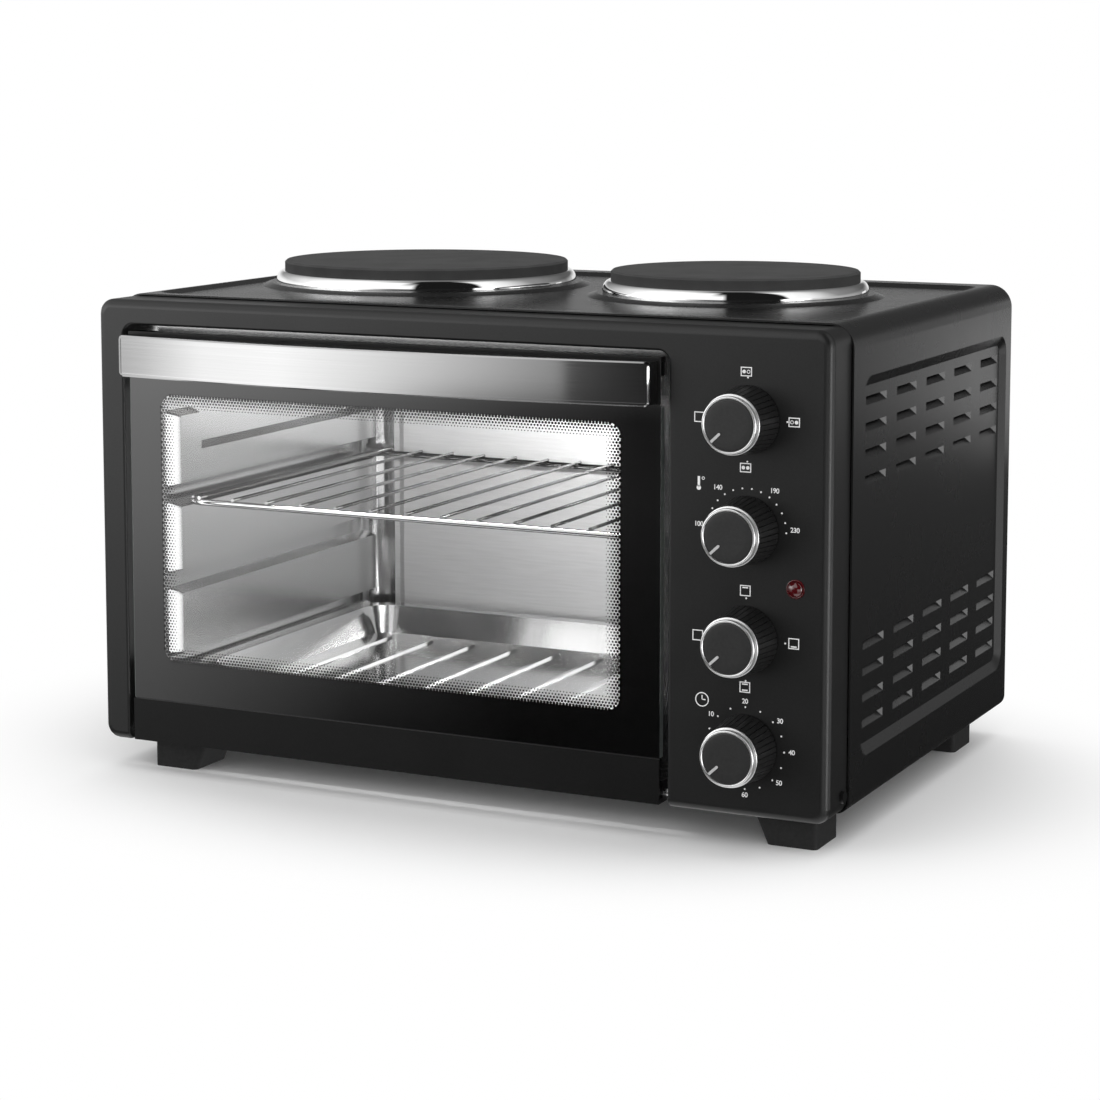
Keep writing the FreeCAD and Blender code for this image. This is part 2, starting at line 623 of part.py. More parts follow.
def side_wall(face, inwards):
    """A cavity side with its guide pads and the holes for the heater bushes."""
    metal = size("metal")
    y0 = size("cavity_front")
    y1 = size("cavity_back")
    z0 = size("cavity_floor - metal")
    z1 = size("cavity_top + metal")
    x = size(face)
    outside = x - inwards * metal
    wall = Part.makeBox(metal, y1 - y0, z1 - z0, V(min(x, outside), y0, z0))
    slope = size("guide_slope")
    crest = x + inwards * size("guide_relief")
    pads = []
    hollows = []
    for low, high, front, rear in guide_pads():
        pads.append(pressed((front, low), (rear, high), slope, slope, at_x(x), at_x(crest)))
        start = (front + metal, low + metal)
        end = (rear - metal, high - metal)
        hollows.append(pressed(start, end, slope, slope, at_x(outside), at_x(crest - inwards * metal)))
    wall = wall.multiFuse(pads).cut(Part.makeCompound(hollows[:-1])).cut(hollows[-1])
    reach = 4 * metal
    turn = V(1, 0, 0)
    holes = []
    for z in heater_z.values():
        for y in heater_y.values():
            start = V(x - reach / 2, size(y), size(z))
            holes.append(Part.makeCylinder(size("bush_radius + fit_clearance"), reach, start, turn))
    if inwards < 0:
        start = V(x - reach / 2, size(bulb[0]), size(bulb[1]))
        holes.append(Part.makeCylinder(size("bulb_radius + fit_clearance"), reach, start, turn))
    return wall.cut(Part.makeCompound(holes)).removeSplitter()


shaped(side_wall("cavity_left", 1), "cavity_left_wall")
shaped(side_wall("cavity_right", -1), "cavity_right_wall")


def back_wall():
    """The cavity's back with its raised field."""
    metal = size("metal")
    left = size("cavity_left")
    right = size("cavity_right")
    low = size("cavity_floor")
    high = size("cavity_top")
    y = size("cavity_back")
    inset = size("back_relief_side")
    start = (left + inset, low + size("back_relief_low"))
    end = (right - inset, high - size("back_relief_high"))
    radius = size("back_relief_radius")
    slope = size("back_relief_slope")
    crest = y - size("back_relief")
    corner = V(left - metal, y, low - metal)
    wall = Part.makeBox(right - left + 2 * metal, metal, high - low + 2 * metal, corner)
    wall = wall.fuse(pressed(start, end, radius, slope, at_y(y), at_y(crest)))
    return wall.cut(pressed(start, end, radius, slope, at_y(y + metal), at_y(crest + metal))).removeSplitter()


shaped(back_wall(), "cavity_back_wall")
span = (("cavity_left", "cavity_right"), ("cavity_front", "cavity_back"))
keep(box(*span, ("cavity_top", "cavity_top + metal")), "cavity_top")
keep(box(*span, ("cavity_floor - metal", "cavity_floor")), "cavity_floor")

# Heating rods through the side walls, held by ceramic bushes, and the thermostat's sensing bulb
wall_left = "cavity_left - metal"
wall_right = "cavity_right + metal"
bushes = []
for level, z in heater_z.items():
    for place, y in heater_y.items():
        start = (f"{wall_left} - heater_overhang", y, z)
        keep(rod("heater_radius", start, f"{wall_right} - ({wall_left}) + 2 * heater_overhang", "x"),
             f"{level}_{place}_heater")
        for first in (f"{wall_left} - bush_out", f"{wall_right} - metal - bush_in"):
            sleeve = rod("bush_radius", (first, y, z), "bush_in + metal + bush_out", "x")
            bore = rod("heater_radius + fit_clearance", (f"{first} - metal", y, z), "4 * bush_out", "x")
            bushes.append(cut(sleeve, bore))
keep(join(*bushes), "heater_bushes")
keep(rod("bulb_radius", ("cavity_right - bulb_reach", *bulb), "bulb_reach + metal + heater_overhang", "x"),
     "thermostat_bulb")


# Hot plates: cast discs on chromed spill rings, each held down by a bar, a stud and a nut
def hot_plate(name, x, radius):
    under = "plate_top - plate_thickness"
    plate = turned(f"{name}_hotplate", [
        ("0", "plate_top"), (f"{radius} - plate_edge", "plate_top"),
        (radius, "plate_top - plate_edge"), (radius, "plate_bottom"),
        (f"{radius} - plate_skirt", "plate_bottom"), (f"{radius} - plate_skirt", under),
        ("stud_radius", under), ("stud_radius", f"{under} - stud_length"), ("0", f"{under} - stud_length"),
    ], (x, "plate_centre", "0"))
    keep(plate, f"{name}_hotplate")
    steps = int(size("ring_steps"))
    inner = []
    for step in range(steps + 1):
        angle = f"(90 deg * {step} / ring_steps)"
        inner.append((f"{radius} + (ring_flare - ring_metal) * sin{angle}",
                      f"boss_top + (ring_height - ring_metal) * cos{angle}"))
    outer = [(f"{across} + ring_metal", f"{height} + ring_metal") for across, height in inner]
    lip = f"{radius} - ring_lip"
    ring = turned(f"{name}_spill_ring", [
        (lip, "plate_bottom - ring_metal"), (lip, "plate_bottom"), *outer,
        (f"{radius} + ring_flare", "boss_top"), *reversed(inner),
    ], (x, "plate_centre", "0"))
    keep(ring, f"{name}_spill_ring")
    bar_half = f"({radius} - plate_skirt + clamp_metal + clamp_overlap)"
    bar_top = "boss_top - metal"
    bar = box((f"{x} - {bar_half}", f"{x} + {bar_half}"),
              ("plate_centre - clamp_width / 2", "plate_centre + clamp_width / 2"),
              (f"{bar_top} - clamp_metal", bar_top))
    bore = rod("stud_radius + fit_clearance", (x, "plate_centre", f"{bar_top} - 2 * clamp_metal"),
               "4 * clamp_metal", "z")
    keep(cut(bar, bore), f"{name}_clamp_bar")
    nut = doc.addObject("Part::Prism", "Nut")
    nut.Polygon = 6
    nut_low = f"{bar_top} - clamp_metal - nut_height"
    bind(nut, at=(x, "plate_centre", nut_low), Circumradius="nut_radius", Height="nut_height")
    thread = rod("stud_radius + fit_clearance", (x, "plate_centre", f"{nut_low} - nut_height"),
                 "3 * nut_height", "z")
    return cut(nut, thread)


keep(join(hot_plate("left", "-plate_left_x", "plate_left_radius"),
          hot_plate("right", "plate_right_x", "plate_right_radius")), "clamp_nuts")


# Feet: their inner side slants in towards the floor
def foot(label, side, margin, y):
    body = bind(doc.addObject("PartDesign::Body", label), at=("0", y, "0"))
    outer = f"{side} * (half - {margin})"
    inner = f"{side} * (half - {margin} - foot_width)"
    inner_top = f"{side} * (half - {margin} - foot_width - foot_taper)"
    sides = [(outer, "0"), (outer, "base"), (inner_top, "base"), (inner, "0")]
    pad(body, outline(body, "XZ_Plane", sides), "foot_length", backwards=True)
    rounded(body, lambda edge: not near(edge.Vertexes[0].Z, f"{edge.Vertexes[1].Z}"), "foot_round")
    keep(body, label)


for place, y in (("front", "front + foot_front_margin"), ("rear", "back - foot_rear_margin - foot_length")):
    foot(f"{place}_left_foot", -1, "foot_left_margin", y)
    foot(f"{place}_right_foot", 1, "foot_right_margin", y)


# Door: a glass pane between a bottom strip and a top rail, turning on two pins
def extruded(label, profile, left, right):
    """A bar along X from a section in (Y behind the front, Z)."""
    body = bind(doc.addObject("PartDesign::Body", label), at=(left, "front", "0"))
    pad(body, outline(body, "YZ_Plane", profile), f"{right} - ({left})")
    return body


keep(box(("door_left", "door_right"), ("front", "front + glass_metal"), ("glass_bottom", "glass_top")),
     "door_glass")
strip = extruded("StripBody", [
    ("-strip_metal", "door_bottom"), ("-strip_metal", "door_bottom + strip_height"),
    ("0", "door_bottom + strip_height"), ("0", "glass_bottom"), ("glass_metal", "glass_bottom"),
    ("glass_metal", "door_bottom + heel_height"), ("glass_metal + heel_depth", "door_bottom + heel_height"),
    ("glass_metal + heel_depth", "door_bottom"),
], "door_left", "door_right")
pin_left = ("opening_left - frame_wall - bracket_metal - pin_out", "hinge_y", "hinge_z")
pin_right = ("door_right - pin_in", "hinge_y", "hinge_z")
pin_length = "pin_out + bracket_metal + frame_wall + door_gap + pin_in"
pin_starts = (pin_left, pin_right)
pin_holes = [rod("pin_radius + pin_clearance", start, pin_length, "x") for start in pin_starts]
keep(cut(strip, *pin_holes), "door_bottom_strip")
keep(join(*[rod("pin_radius", start, pin_length, "x") for start in pin_starts]), "hinge_pins")
rail = extruded("RailBody", [
    ("-strip_metal", "rail_bottom"), ("-strip_metal", "door_top"), ("glass_metal + strip_metal", "door_top"),
    ("glass_metal + strip_metal", "door_top - rail_grip"), ("glass_metal", "door_top - rail_grip"),
    ("glass_metal", "glass_top"), ("0", "glass_top"), ("0", "rail_bottom"),
], "door_left", "door_right")
keep(rail, "door_top_rail")


# Handle: a bowed bright plate on a black core that reaches the rail along the top and at both ends
handle_y = ("front - handle_front", "front - strip_metal")


def bow(inwards):
    """An upright cylinder whose front follows the handle's bow, drawn in by a length."""
    start = ("handle_middle", "front - handle_front + handle_curve", "handle_bottom - handle_rim")
    return rod(f"handle_curve - {inwards}", start, "handle_height + 2 * handle_rim", "z")


plate_body = bind(doc.addObject("PartDesign::Body", "HandleBody"), at=("0", handle_y[0], "0"))
plate_edge = [("handle_left", "handle_bottom"), ("handle_left", "handle_top"), ("handle_right", "handle_top"),
              ("handle_right", "handle_bottom")]
pad(plate_body, outline(plate_body, "XZ_Plane", plate_edge), "handle_front - strip_metal", backwards=True)
rounded(plate_body, lambda edge: along(edge, (0, 1, 0)), "handle_corner")
bowed_plate = cut(overlap(plate_body, bow("0")), bow("handle_metal"))
doc.recompute()


def on_bow(edge):
    """Whether an edge lies on the plate's bowed front."""
    centre = V(size("handle_middle"), size("front - handle_front + handle_curve"))
    points = [vertex.Point for vertex in edge.Vertexes] + [middle(edge)]
    return all(near((V(point.x, point.y) - centre).Length, "handle_curve") for point in points)


bevel = doc.addObject("Part::Chamfer", "Bevel")
bevel.Base = bowed_plate
bevel_size = size("handle_bevel")
bevel.Edges = [(number, bevel_size, bevel_size) for number, edge in enumerate(bowed_plate.Shape.Edges, 1)
               if on_bow(edge)]
field = box(("handle_left + handle_rim", "handle_right - handle_rim"), handle_y,
            ("handle_bottom + handle_rim", "handle_top - handle_rim"))
keep(cut(bevel, cut(field, bow("handle_dish"))), "handle_plate")

core_left = "handle_left + core_inset"
core_right = "handle_right - core_inset"
core_top = "handle_top - core_inset"
core = overlap(box((core_left, core_right), handle_y, ("handle_bottom + core_inset", core_top)),
               bow("handle_metal - core_gap"))
grip = box((f"{core_left} + core_end", f"{core_right} - core_end"), handle_y,
           ("handle_bottom", f"{core_top} - core_height"))
keep(cut(core, grip), "handle_core")

# Hinge brackets inside the frame's legs, with a coiled spring round each pin
bracket_y = ("front + frame_wall", "hinge_y + bracket_half")
bracket_z = ("base + frame_wall", "base + frame_wall + bracket_height")
brackets = []
for near_x, far_x in (("opening_left - frame_wall - bracket_metal", "opening_left - frame_wall"),
                      ("opening_right + frame_wall", "opening_right + frame_wall + bracket_metal")):
    bearing = rod("pin_radius + pin_clearance", (f"{near_x} - bracket_metal", "hinge_y", "hinge_z"),
                  "3 * bracket_metal", "x")
    brackets.append(cut(box((near_x, far_x), bracket_y, bracket_z), bearing))
keep(join(*brackets), "hinge_brackets")


def door_spring(first, outwards):
    """A close-wound coil beside a bracket, its last turn ending in an upright leg."""
    wire = size("spring_wire")
    coil = size("pin_radius + spring_clearance + spring_wire")
    axis = V(1, 0, 0)
    y = size("hinge_y")
    z = size("hinge_z")
    turns = int(size("spring_turns"))
    pitch = size("spring_pitch")
    places = [first + outwards * (wire + pitch * number) for number in range(turns)]
    rings = [Part.makeTorus(coil, wire, V(x, y, z), axis) for x in places]
    leg = Part.makeCylinder(wire, size("spring_leg"), V(places[-1], y + coil + wire / 2, z))
    return rings[0].multiFuse(rings[1:] + [leg])


shaped(Part.makeCompound([
    door_spring(size("opening_left - frame_wall - bracket_metal"), -1),
    door_spring(size("opening_right + frame_wall + bracket_metal"), 1),
]), "door_springs")


# Knobs with their trim rings and shafts, and the controls behind the panel
def knob(name, z):
    back_face = "front - knob_gap"
    side_end = "-(knob_length - trim_length)"
    seat = "trim_radius - trim_width - fit_clearance / 2"
    face = "-(knob_length - knob_face_drop)"
    bore = "shaft_radius + fit_clearance"
    body = turned(f"{name}_knob", [
        (bore, "0"), ("knob_radius", "0"), ("knob_front_radius", side_end), (seat, side_end), (seat, face),
        ("0", face), ("0", "-shaft_knob"), (bore, "-shaft_knob"),
    ], ("dial_centre", back_face, z), "y")
    notches = []
    for radius, height in (("knob_radius", "0"), ("knob_front_radius", side_end)):
        half_width = f"flute_width / 2 * {radius} / knob_radius"
        outside = f"{radius} + flute_clear"
        notch = outline(body, "XY_Plane", [(f"{radius} - flute_depth", "0"), (outside, half_width),
                                           (outside, f"-{half_width}")], "Notch")
        notch.setExpression("AttachmentOffset.Base.z", in_sheet(height))
        notches.append(notch)
    flute = body.newObject("PartDesign::SubtractiveLoft", "Flute")
    flute.Profile = notches[0]
    flute.Sections = [notches[1]]
    doc.recompute()
    ring = body.newObject("PartDesign::PolarPattern", "Flutes")
    ring.Originals = [flute]
    ring.Axis = (notches[0], ["N_Axis"])
    ring.Angle = 360
    bind(ring, Occurrences="flutes")
    body.Tip = ring
    keep(body, f"{name}_knob")
    trim_seat = "trim_radius - trim_width"
    trim = turned(f"{name}_knob_ring", [
        (trim_seat, side_end), ("knob_front_radius", side_end),
        ("knob_front_radius", f"{side_end} - trim_collar"), ("trim_radius", f"{side_end} - trim_collar"),
        ("trim_radius", "-knob_length + trim_bead"), ("trim_radius - trim_bead", "-knob_length"),
        (trim_seat, "-knob_length"),
    ], ("dial_centre", back_face, z), "y")
    keep(trim, f"{name}_knob_ring")
    shaft_start = f"{back_face} - shaft_knob + fit_clearance"
    keep(rod("shaft_radius", ("dial_centre", shaft_start, z),
             "shaft_knob + knob_gap + frame_wall + shaft_in - fit_clearance", "y"), f"{name}_shaft")


for name, z in dials.items():
    knob(name, z)

panel_back = "front + frame_wall"


def control(label, body, z):
    """A switch body with the bore that its shaft turns in."""
    bore = rod("shaft_radius + shaft_clearance", ("dial_centre", "front", z),
               "frame_wall + shaft_in + shaft_clearance", "y")
    keep(cut(body, bore), label)


def control_box(z, width, depth):
    half_width = f"{width} / 2"
    return box((f"dial_centre - {half_width}", f"dial_centre + {half_width}"),
               (panel_back, f"{panel_back} + {depth}"), (f"{z} - {half_width}", f"{z} + {half_width}"))


for name in ("hotplate", "function"):
    drum = rod("selector_radius", ("dial_centre", panel_back, dials[name]), "selector_depth", "y")
    control(f"{name}_switch", drum, dials[name])
control("thermostat", control_box(dials["thermostat"], "thermostat_width", "thermostat_depth"),
        dials["thermostat"])
control("timer", control_box(dials["timer"], "timer_width", "timer_depth"), dials["timer"])

# Indicator lamp: a domed lens in the panel and the lamp holder behind it
lens = turned("indicator_lens", [
    ("0", "-lamp_dome"), ("lamp_radius / 2", "-lamp_shoulder"), ("lamp_radius", "-lamp_lip"),
    ("lamp_flange", "-lamp_lip"), ("lamp_flange", "0"), ("lamp_radius", "0"),
    ("lamp_radius", "frame_wall + lamp_dome"), ("0", "frame_wall + lamp_dome"),
], (lamp[0], "front", lamp[1]), "y")
keep(lens, "indicator_lens")
keep(rod("lamp_body_radius", (lamp[0], f"{panel_back} + lamp_dome", lamp[1]), "lamp_body_length", "y"),
     "indicator_lamp")


# Wire rack: a round-cornered loop with bars across it, on the upper guide
def wire_rack():
    wire = size("rack_wire")
    bar = size("rack_bar")
    low = (size("cavity_left + rack_clearance") + wire, size("cavity_front + rack_front") + wire)
    high = (size("cavity_right - rack_clearance") - wire, size("cavity_back - rack_rear") - wire)
    z = size("rack_z")
    loop = rounded_wire(low, high, size("rack_corner"), at_z(z))
    start = V(high[0] - size("rack_corner"), low[1], z)
    ring = Part.Wire(Part.makeCircle(wire, start, V(1, 0, 0)))
    frame_wire = loop.makePipeShell([ring], True, True)
    weld = size("rack_weld")
    bar_z = z + wire + bar - weld
    count = int(size("rack_bars"))
    first = low[0] + size("rack_bar_margin")
    pitch = (high[0] - size("rack_bar_margin") - first) / (count - 1)
    bars = []
    for number in range(count):
        x = first + number * pitch
        start = V(x, low[1] - bar, bar_z)
        bars.append(Part.makeCylinder(bar, high[1] - low[1] + 2 * bar, start, V(0, 1, 0)))
    cross = V(low[0], high[1] - size("rack_double"), bar_z - 2 * bar + weld)
    bars.append(Part.makeCylinder(bar, high[0] - low[0], cross, V(1, 0, 0)))
    return frame_wire.multiFuse(bars)


shaped(wire_rack(), "wire_rack")


# Baking tray: a ribbed pan whose flange slides on the lowest guide
def baking_tray():
    metal = size("tray_metal")
    rim = size("tray_rim")
    floor = rim - size("tray_depth")
    outer_low = (size("cavity_left + tray_clearance"), size("cavity_front + tray_front"))
    outer_high = (size("cavity_right - tray_clearance"), size("cavity_back - tray_rear"))
    flange = size("tray_flange")
    corner = size("tray_corner")
    slope = size("tray_slope")
    low = (outer_low[0] + flange, outer_low[1] + flange)
    high = (outer_high[0] - flange, outer_high[1] - flange)
    pan = pressed(low, high, corner, slope, at_z(rim + metal), at_z(floor))
    edge = Part.Face(rounded_wire(outer_low, outer_high, corner + flange, at_z(rim)))
    pan = pan.fuse(edge.extrude(V(0, 0, metal)))
    inner_low = (low[0] + metal, low[1] + metal)
    inner_high = (high[0] - metal, high[1] - metal)
    top = rim + metal
    pan = pan.cut(pressed(inner_low, inner_high, corner - metal, slope, at_z(top), at_z(floor + metal)))
    rib = size("tray_rib")
    count = int(size("tray_ribs"))
    first = low[0] + size("tray_rib_margin")
    pitch = (high[0] - size("tray_rib_margin") - first) / (count - 1)
    ends = (low[1] + size("tray_rib_end"), high[1] - size("tray_rib_end"))
    ribs = []
    for number in range(count):
        x = first + number * pitch
        start = V(x - 2 * rib, ends[0])
        end = V(x + 2 * rib, ends[1])
        ribs.append(pressed((start.x, start.y), (end.x, end.y), 1.5 * rib, rib, at_z(floor + metal),
                            at_z(floor + metal + rib)))
    return pan.multiFuse(ribs).removeSplitter()


shaped(baking_tray(), "baking_tray")


# Write every sub-part once all of it is sound
doc.recompute()
for item in doc.Objects:
    if "Invalid" in item.State or "Error" in item.State:
        raise RuntimeError(f"{item.Label} failed: {item.State}")
os.makedirs("parts", exist_ok=True)
for item in subparts:
    if item.Shape.isNull() or not item.Shape.isValid():
        raise RuntimeError(f"{item.Label} has no sound shape")
for item in subparts:
    item.Shape.exportStep(f"parts/{item.Label}.step")
    print(item.Label, len(item.Shape.Solids), round(item.Shape.Volume))
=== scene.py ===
"""Looks of a table-top oven with two hot plates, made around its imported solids."""

import json
import math

import bmesh
import bpy
from mathutils import Matrix, Vector


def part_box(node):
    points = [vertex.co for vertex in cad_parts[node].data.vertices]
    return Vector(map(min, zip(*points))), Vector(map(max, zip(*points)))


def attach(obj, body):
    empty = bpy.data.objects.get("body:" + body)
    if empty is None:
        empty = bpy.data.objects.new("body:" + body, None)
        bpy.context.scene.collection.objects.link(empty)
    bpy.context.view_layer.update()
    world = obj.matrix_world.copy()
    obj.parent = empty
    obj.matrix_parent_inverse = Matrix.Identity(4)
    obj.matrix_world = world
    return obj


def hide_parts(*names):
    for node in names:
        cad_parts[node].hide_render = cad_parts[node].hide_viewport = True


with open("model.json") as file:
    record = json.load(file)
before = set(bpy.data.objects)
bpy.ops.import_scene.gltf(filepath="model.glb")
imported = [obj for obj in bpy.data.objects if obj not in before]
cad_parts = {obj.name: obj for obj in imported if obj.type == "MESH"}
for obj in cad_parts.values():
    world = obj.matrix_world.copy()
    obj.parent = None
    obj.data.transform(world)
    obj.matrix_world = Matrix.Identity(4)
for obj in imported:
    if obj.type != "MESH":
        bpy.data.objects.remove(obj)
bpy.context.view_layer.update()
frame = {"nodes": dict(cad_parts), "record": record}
nodes = frame["nodes"]
scene = bpy.context.scene
scene.view_settings.view_transform = "Standard"
MM = 0.001
KNOBS = ("hotplate", "thermostat", "function", "timer")


# Materials
def finish(name, color, metallic=0.0, roughness=0.5, **sockets):
    """A Principled material with its even values on the shader's own sockets."""
    mat = bpy.data.materials.new(name)
    mat.use_nodes = True
    shader = mat.node_tree.nodes["Principled BSDF"]
    values = {"Base Color": (*color, 1), "Metallic": metallic, "Roughness": roughness}
    values.update({key.replace("_", " "): value for key, value in sockets.items()})
    for key, value in values.items():
        shader.inputs[key].default_value = value
    return mat


def add(mat, kind, links=(), **values):
    """A node with the given input values, fed by the given (input, output socket) pairs."""
    node = mat.node_tree.nodes.new(kind)
    for key, value in values.items():
        node.inputs[key.replace("_", " ")].default_value = value
    for key, source in links:
        mat.node_tree.links.new(source, node.inputs[key])
    return node


def place(mat, stretch=(1, 1, 1), origin=(0, 0, 0)):
    """The piece's own coordinates in metres, stretched about an origin."""
    coords = add(mat, "ShaderNodeTexCoord").outputs["Object"]
    shift = tuple(-a * b for a, b in zip(stretch, origin))
    moved = add(mat, "ShaderNodeMapping", [("Vector", coords)], Scale=stretch, Location=shift)
    return moved.outputs["Vector"]


def noise(mat, scale, stretch=(1, 1, 1), detail=3.0):
    """A cloudy texture over the piece."""
    return add(mat, "ShaderNodeTexNoise", [("Vector", place(mat, stretch))], Scale=scale,
               Detail=detail).outputs["Fac"]


def rings(mat, scale, centre):
    """Fine turned circles about an upright axis."""
    node = add(mat, "ShaderNodeTexWave", [("Vector", place(mat, origin=centre))], Scale=scale,
               Distortion=1.5, Detail=2.0, Detail_Scale=3.0)
    node.wave_type = "RINGS"
    node.rings_direction = "Z"
    return node.outputs["Fac"]


def shader_of(mat):
    return mat.node_tree.nodes["Principled BSDF"]


def vary(mat, source, socket, low, high):
    """Drive a shader value between two limits by a texture."""
    node = add(mat, "ShaderNodeMapRange", [("Value", source)])
    for key, value in (("From Min", 0.25), ("From Max", 0.75), ("To Min", low), ("To Max", high)):
        node.inputs[key].default_value = value
    mat.node_tree.links.new(node.outputs["Result"], shader_of(mat).inputs[socket])


def shades(mat, source, dark, light, low=0.3, high=0.7):
    """Drive the colour between two shades by a texture."""
    ramp = add(mat, "ShaderNodeValToRGB", [("Fac", source)])
    for stop, position, color in zip(ramp.color_ramp.elements, (low, high), (dark, light)):
        stop.position = position
        stop.color = (*color, 1)
    mat.node_tree.links.new(ramp.outputs["Color"], shader_of(mat).inputs["Base Color"])


def relief(mat, source, depth, strength=1.0):
    """Add a bump of a depth in millimetres over any bump already there."""
    normal = shader_of(mat).inputs["Normal"]
    links = [("Height", source)]
    if normal.is_linked:
        links.append(("Normal", normal.links[0].from_socket))
    node = add(mat, "ShaderNodeBump", links, Strength=strength, Distance=depth * MM)
    mat.node_tree.links.new(node.outputs["Normal"], normal)


def grey(value):
    return (value, value, value)


def coat(name, dark, light, rough_low, rough_high, specular):
    """Black powder coat: a fine orange-peel grain with slow changes of gloss."""
    mat = finish(name, grey(light), roughness=rough_high, Specular_IOR_Level=specular)
    shades(mat, noise(mat, 900, detail=2), grey(dark), grey(light))
    vary(mat, noise(mat, 35), "Roughness", rough_low, rough_high)
    relief(mat, noise(mat, 1100, detail=2), 0.01, 0.05)
    return mat


casing_coat = coat("casing_coat", 0.005, 0.008, 0.26, 0.28, 0.4)
front_coat = coat("front_coat", 0.006, 0.009, 0.33, 0.37, 0.42)
strip_coat = coat("strip_coat", 0.004, 0.006, 0.32, 0.38, 0.22)


def sheet_metal(name, metallic, dark, light, rough_low, rough_high, streak):
    """Aluminised sheet, bright or darkened by its shades, with fine rolling lines along one direction."""
    mat = finish(name, grey(light), metallic=metallic, roughness=rough_high)
    shades(mat, noise(mat, 40, streak, 2), grey(dark), grey(light))
    vary(mat, noise(mat, 60, streak, 3), "Roughness", rough_low, rough_high)
    return mat


wall_sheet = sheet_metal("wall_sheet", 0.95, 0.525, 0.54, 0.2, 0.21, (1, 1, 20))
back_sheet = sheet_metal("back_sheet", 0.6, 0.5, 0.55, 0.36, 0.41, (1, 1, 20))
# Painted shade: the cavity's top is coloured dark to stand in for an unlit ceiling
top_sheet_painted_shade = sheet_metal("top_sheet_painted_shade", 0.9, 0.09, 0.12, 0.4, 0.5, (1, 20, 1))
tray_sheet = sheet_metal("tray_sheet", 1.0, 0.54, 0.58, 0.12, 0.15, (20, 1, 1))

chrome = finish("chrome", grey(0.9), metallic=1.0, roughness=0.05)
shades(chrome, noise(chrome, 60), grey(0.84), grey(0.92))
vary(chrome, noise(chrome, 90), "Roughness", 0.03, 0.07)

trim_chrome = finish("trim_chrome", grey(0.74), metallic=1.0, roughness=0.3)
shades(trim_chrome, noise(trim_chrome, 150), grey(0.71), grey(0.77))
vary(trim_chrome, noise(trim_chrome, 250), "Roughness", 0.28, 0.32)

# Painted highlight and painted shade: the rack's front rail, in the first hundredths of its depth, is
# coloured brighter than its bars to stand in for the bright reflection along it, and the bars darker for the
# dark reflections they show
RAIL_SHARE = 0.03
RAIL_END = 1.3 * RAIL_SHARE
rack_chrome = finish("rack_chrome", grey(0.2), metallic=1.0, roughness=0.1)
rack_place = add(rack_chrome, "ShaderNodeTexCoord").outputs["Generated"]
rail_highlight_depth = add(rack_chrome, "ShaderNodeSeparateXYZ", [("Vector", rack_place)]).outputs["Y"]
shades(rack_chrome, rail_highlight_depth, grey(0.6), grey(0.1), RAIL_SHARE, RAIL_END)
vary(rack_chrome, noise(rack_chrome, 200), "Roughness", 0.06, 0.12)

zinc = finish("zinc", grey(0.62), metallic=1.0, roughness=0.3)
shades(zinc, noise(zinc, 300), grey(0.52), grey(0.68))
vary(zinc, noise(zinc, 500), "Roughness", 0.22, 0.36)

heater_steel = finish("heater_steel", grey(0.22), metallic=0.9, roughness=0.5)
shades(heater_steel, noise(heater_steel, 60), (0.17, 0.165, 0.16), (0.26, 0.25, 0.24))
relief(heater_steel, noise(heater_steel, 1500), 0.03, 0.3)

ceramic = finish("ceramic", (0.8, 0.78, 0.72), roughness=0.7)
shades(ceramic, noise(ceramic, 400), (0.72, 0.7, 0.64), (0.84, 0.82, 0.77))
relief(ceramic, noise(ceramic, 2500), 0.03, 0.3)

rubber = finish("rubber", grey(0.01), roughness=0.7, Specular_IOR_Level=0.3)
shades(rubber, noise(rubber, 500), grey(0.007), grey(0.013))
relief(rubber, noise(rubber, 2200), 0.06, 0.35)

stainless = finish("stainless", grey(0.52), metallic=1.0, roughness=0.07)
brush = noise(stainless, 60, (0.2, 1, 30), 4)
shades(stainless, brush, grey(0.505), grey(0.53))
vary(stainless, brush, "Roughness", 0.055, 0.085)

plastic = finish("plastic", grey(0.01), roughness=0.4, Specular_IOR_Level=0.4)
shades(plastic, noise(plastic, 700), grey(0.007), grey(0.012))
vary(plastic, noise(plastic, 300), "Roughness", 0.34, 0.46)
relief(plastic, noise(plastic, 2600), 0.02, 0.25)

face_plastic = finish("face_plastic", grey(0.016), roughness=0.42, Specular_IOR_Level=0.4)
shades(face_plastic, noise(face_plastic, 500), grey(0.013), grey(0.018))
relief(face_plastic, noise(face_plastic, 3000), 0.015, 0.25)

phenolic = finish("phenolic", (0.09, 0.07, 0.055), roughness=0.5)
shades(phenolic, noise(phenolic, 250), (0.07, 0.055, 0.045), (0.12, 0.095, 0.08))
relief(phenolic, noise(phenolic, 1800), 0.03, 0.3)

lens_red = finish("lens_red", (0.06, 0.002, 0.004), roughness=0.06, Specular_IOR_Level=1.0)
shades(lens_red, noise(lens_red, 250), (0.05, 0.002, 0.003), (0.07, 0.003, 0.005))

glass = finish("glass", grey(0.8), metallic=1.0, roughness=0.02, Alpha=0.03)
vary(glass, noise(glass, 6), "Roughness", 0.015, 0.03)

glass_edge = finish("glass_edge", (0.08, 0.09, 0.085), roughness=0.35)
shades(glass_edge, noise(glass_edge, 300), (0.06, 0.07, 0.065), (0.1, 0.11, 0.105))

glass_print = finish("glass_print", grey(0.0025), roughness=0.03, Specular_IOR_Level=1.0)
shades(glass_print, noise(glass_print, 200), grey(0.002), grey(0.003))

dial_print = finish("dial_print", grey(0.8), roughness=0.55)
shades(dial_print, noise(dial_print, 900), grey(0.72), grey(0.86))

pointer_grey = finish("pointer_grey", grey(0.42), roughness=0.4)
shades(pointer_grey, noise(pointer_grey, 600), grey(0.37), grey(0.46))


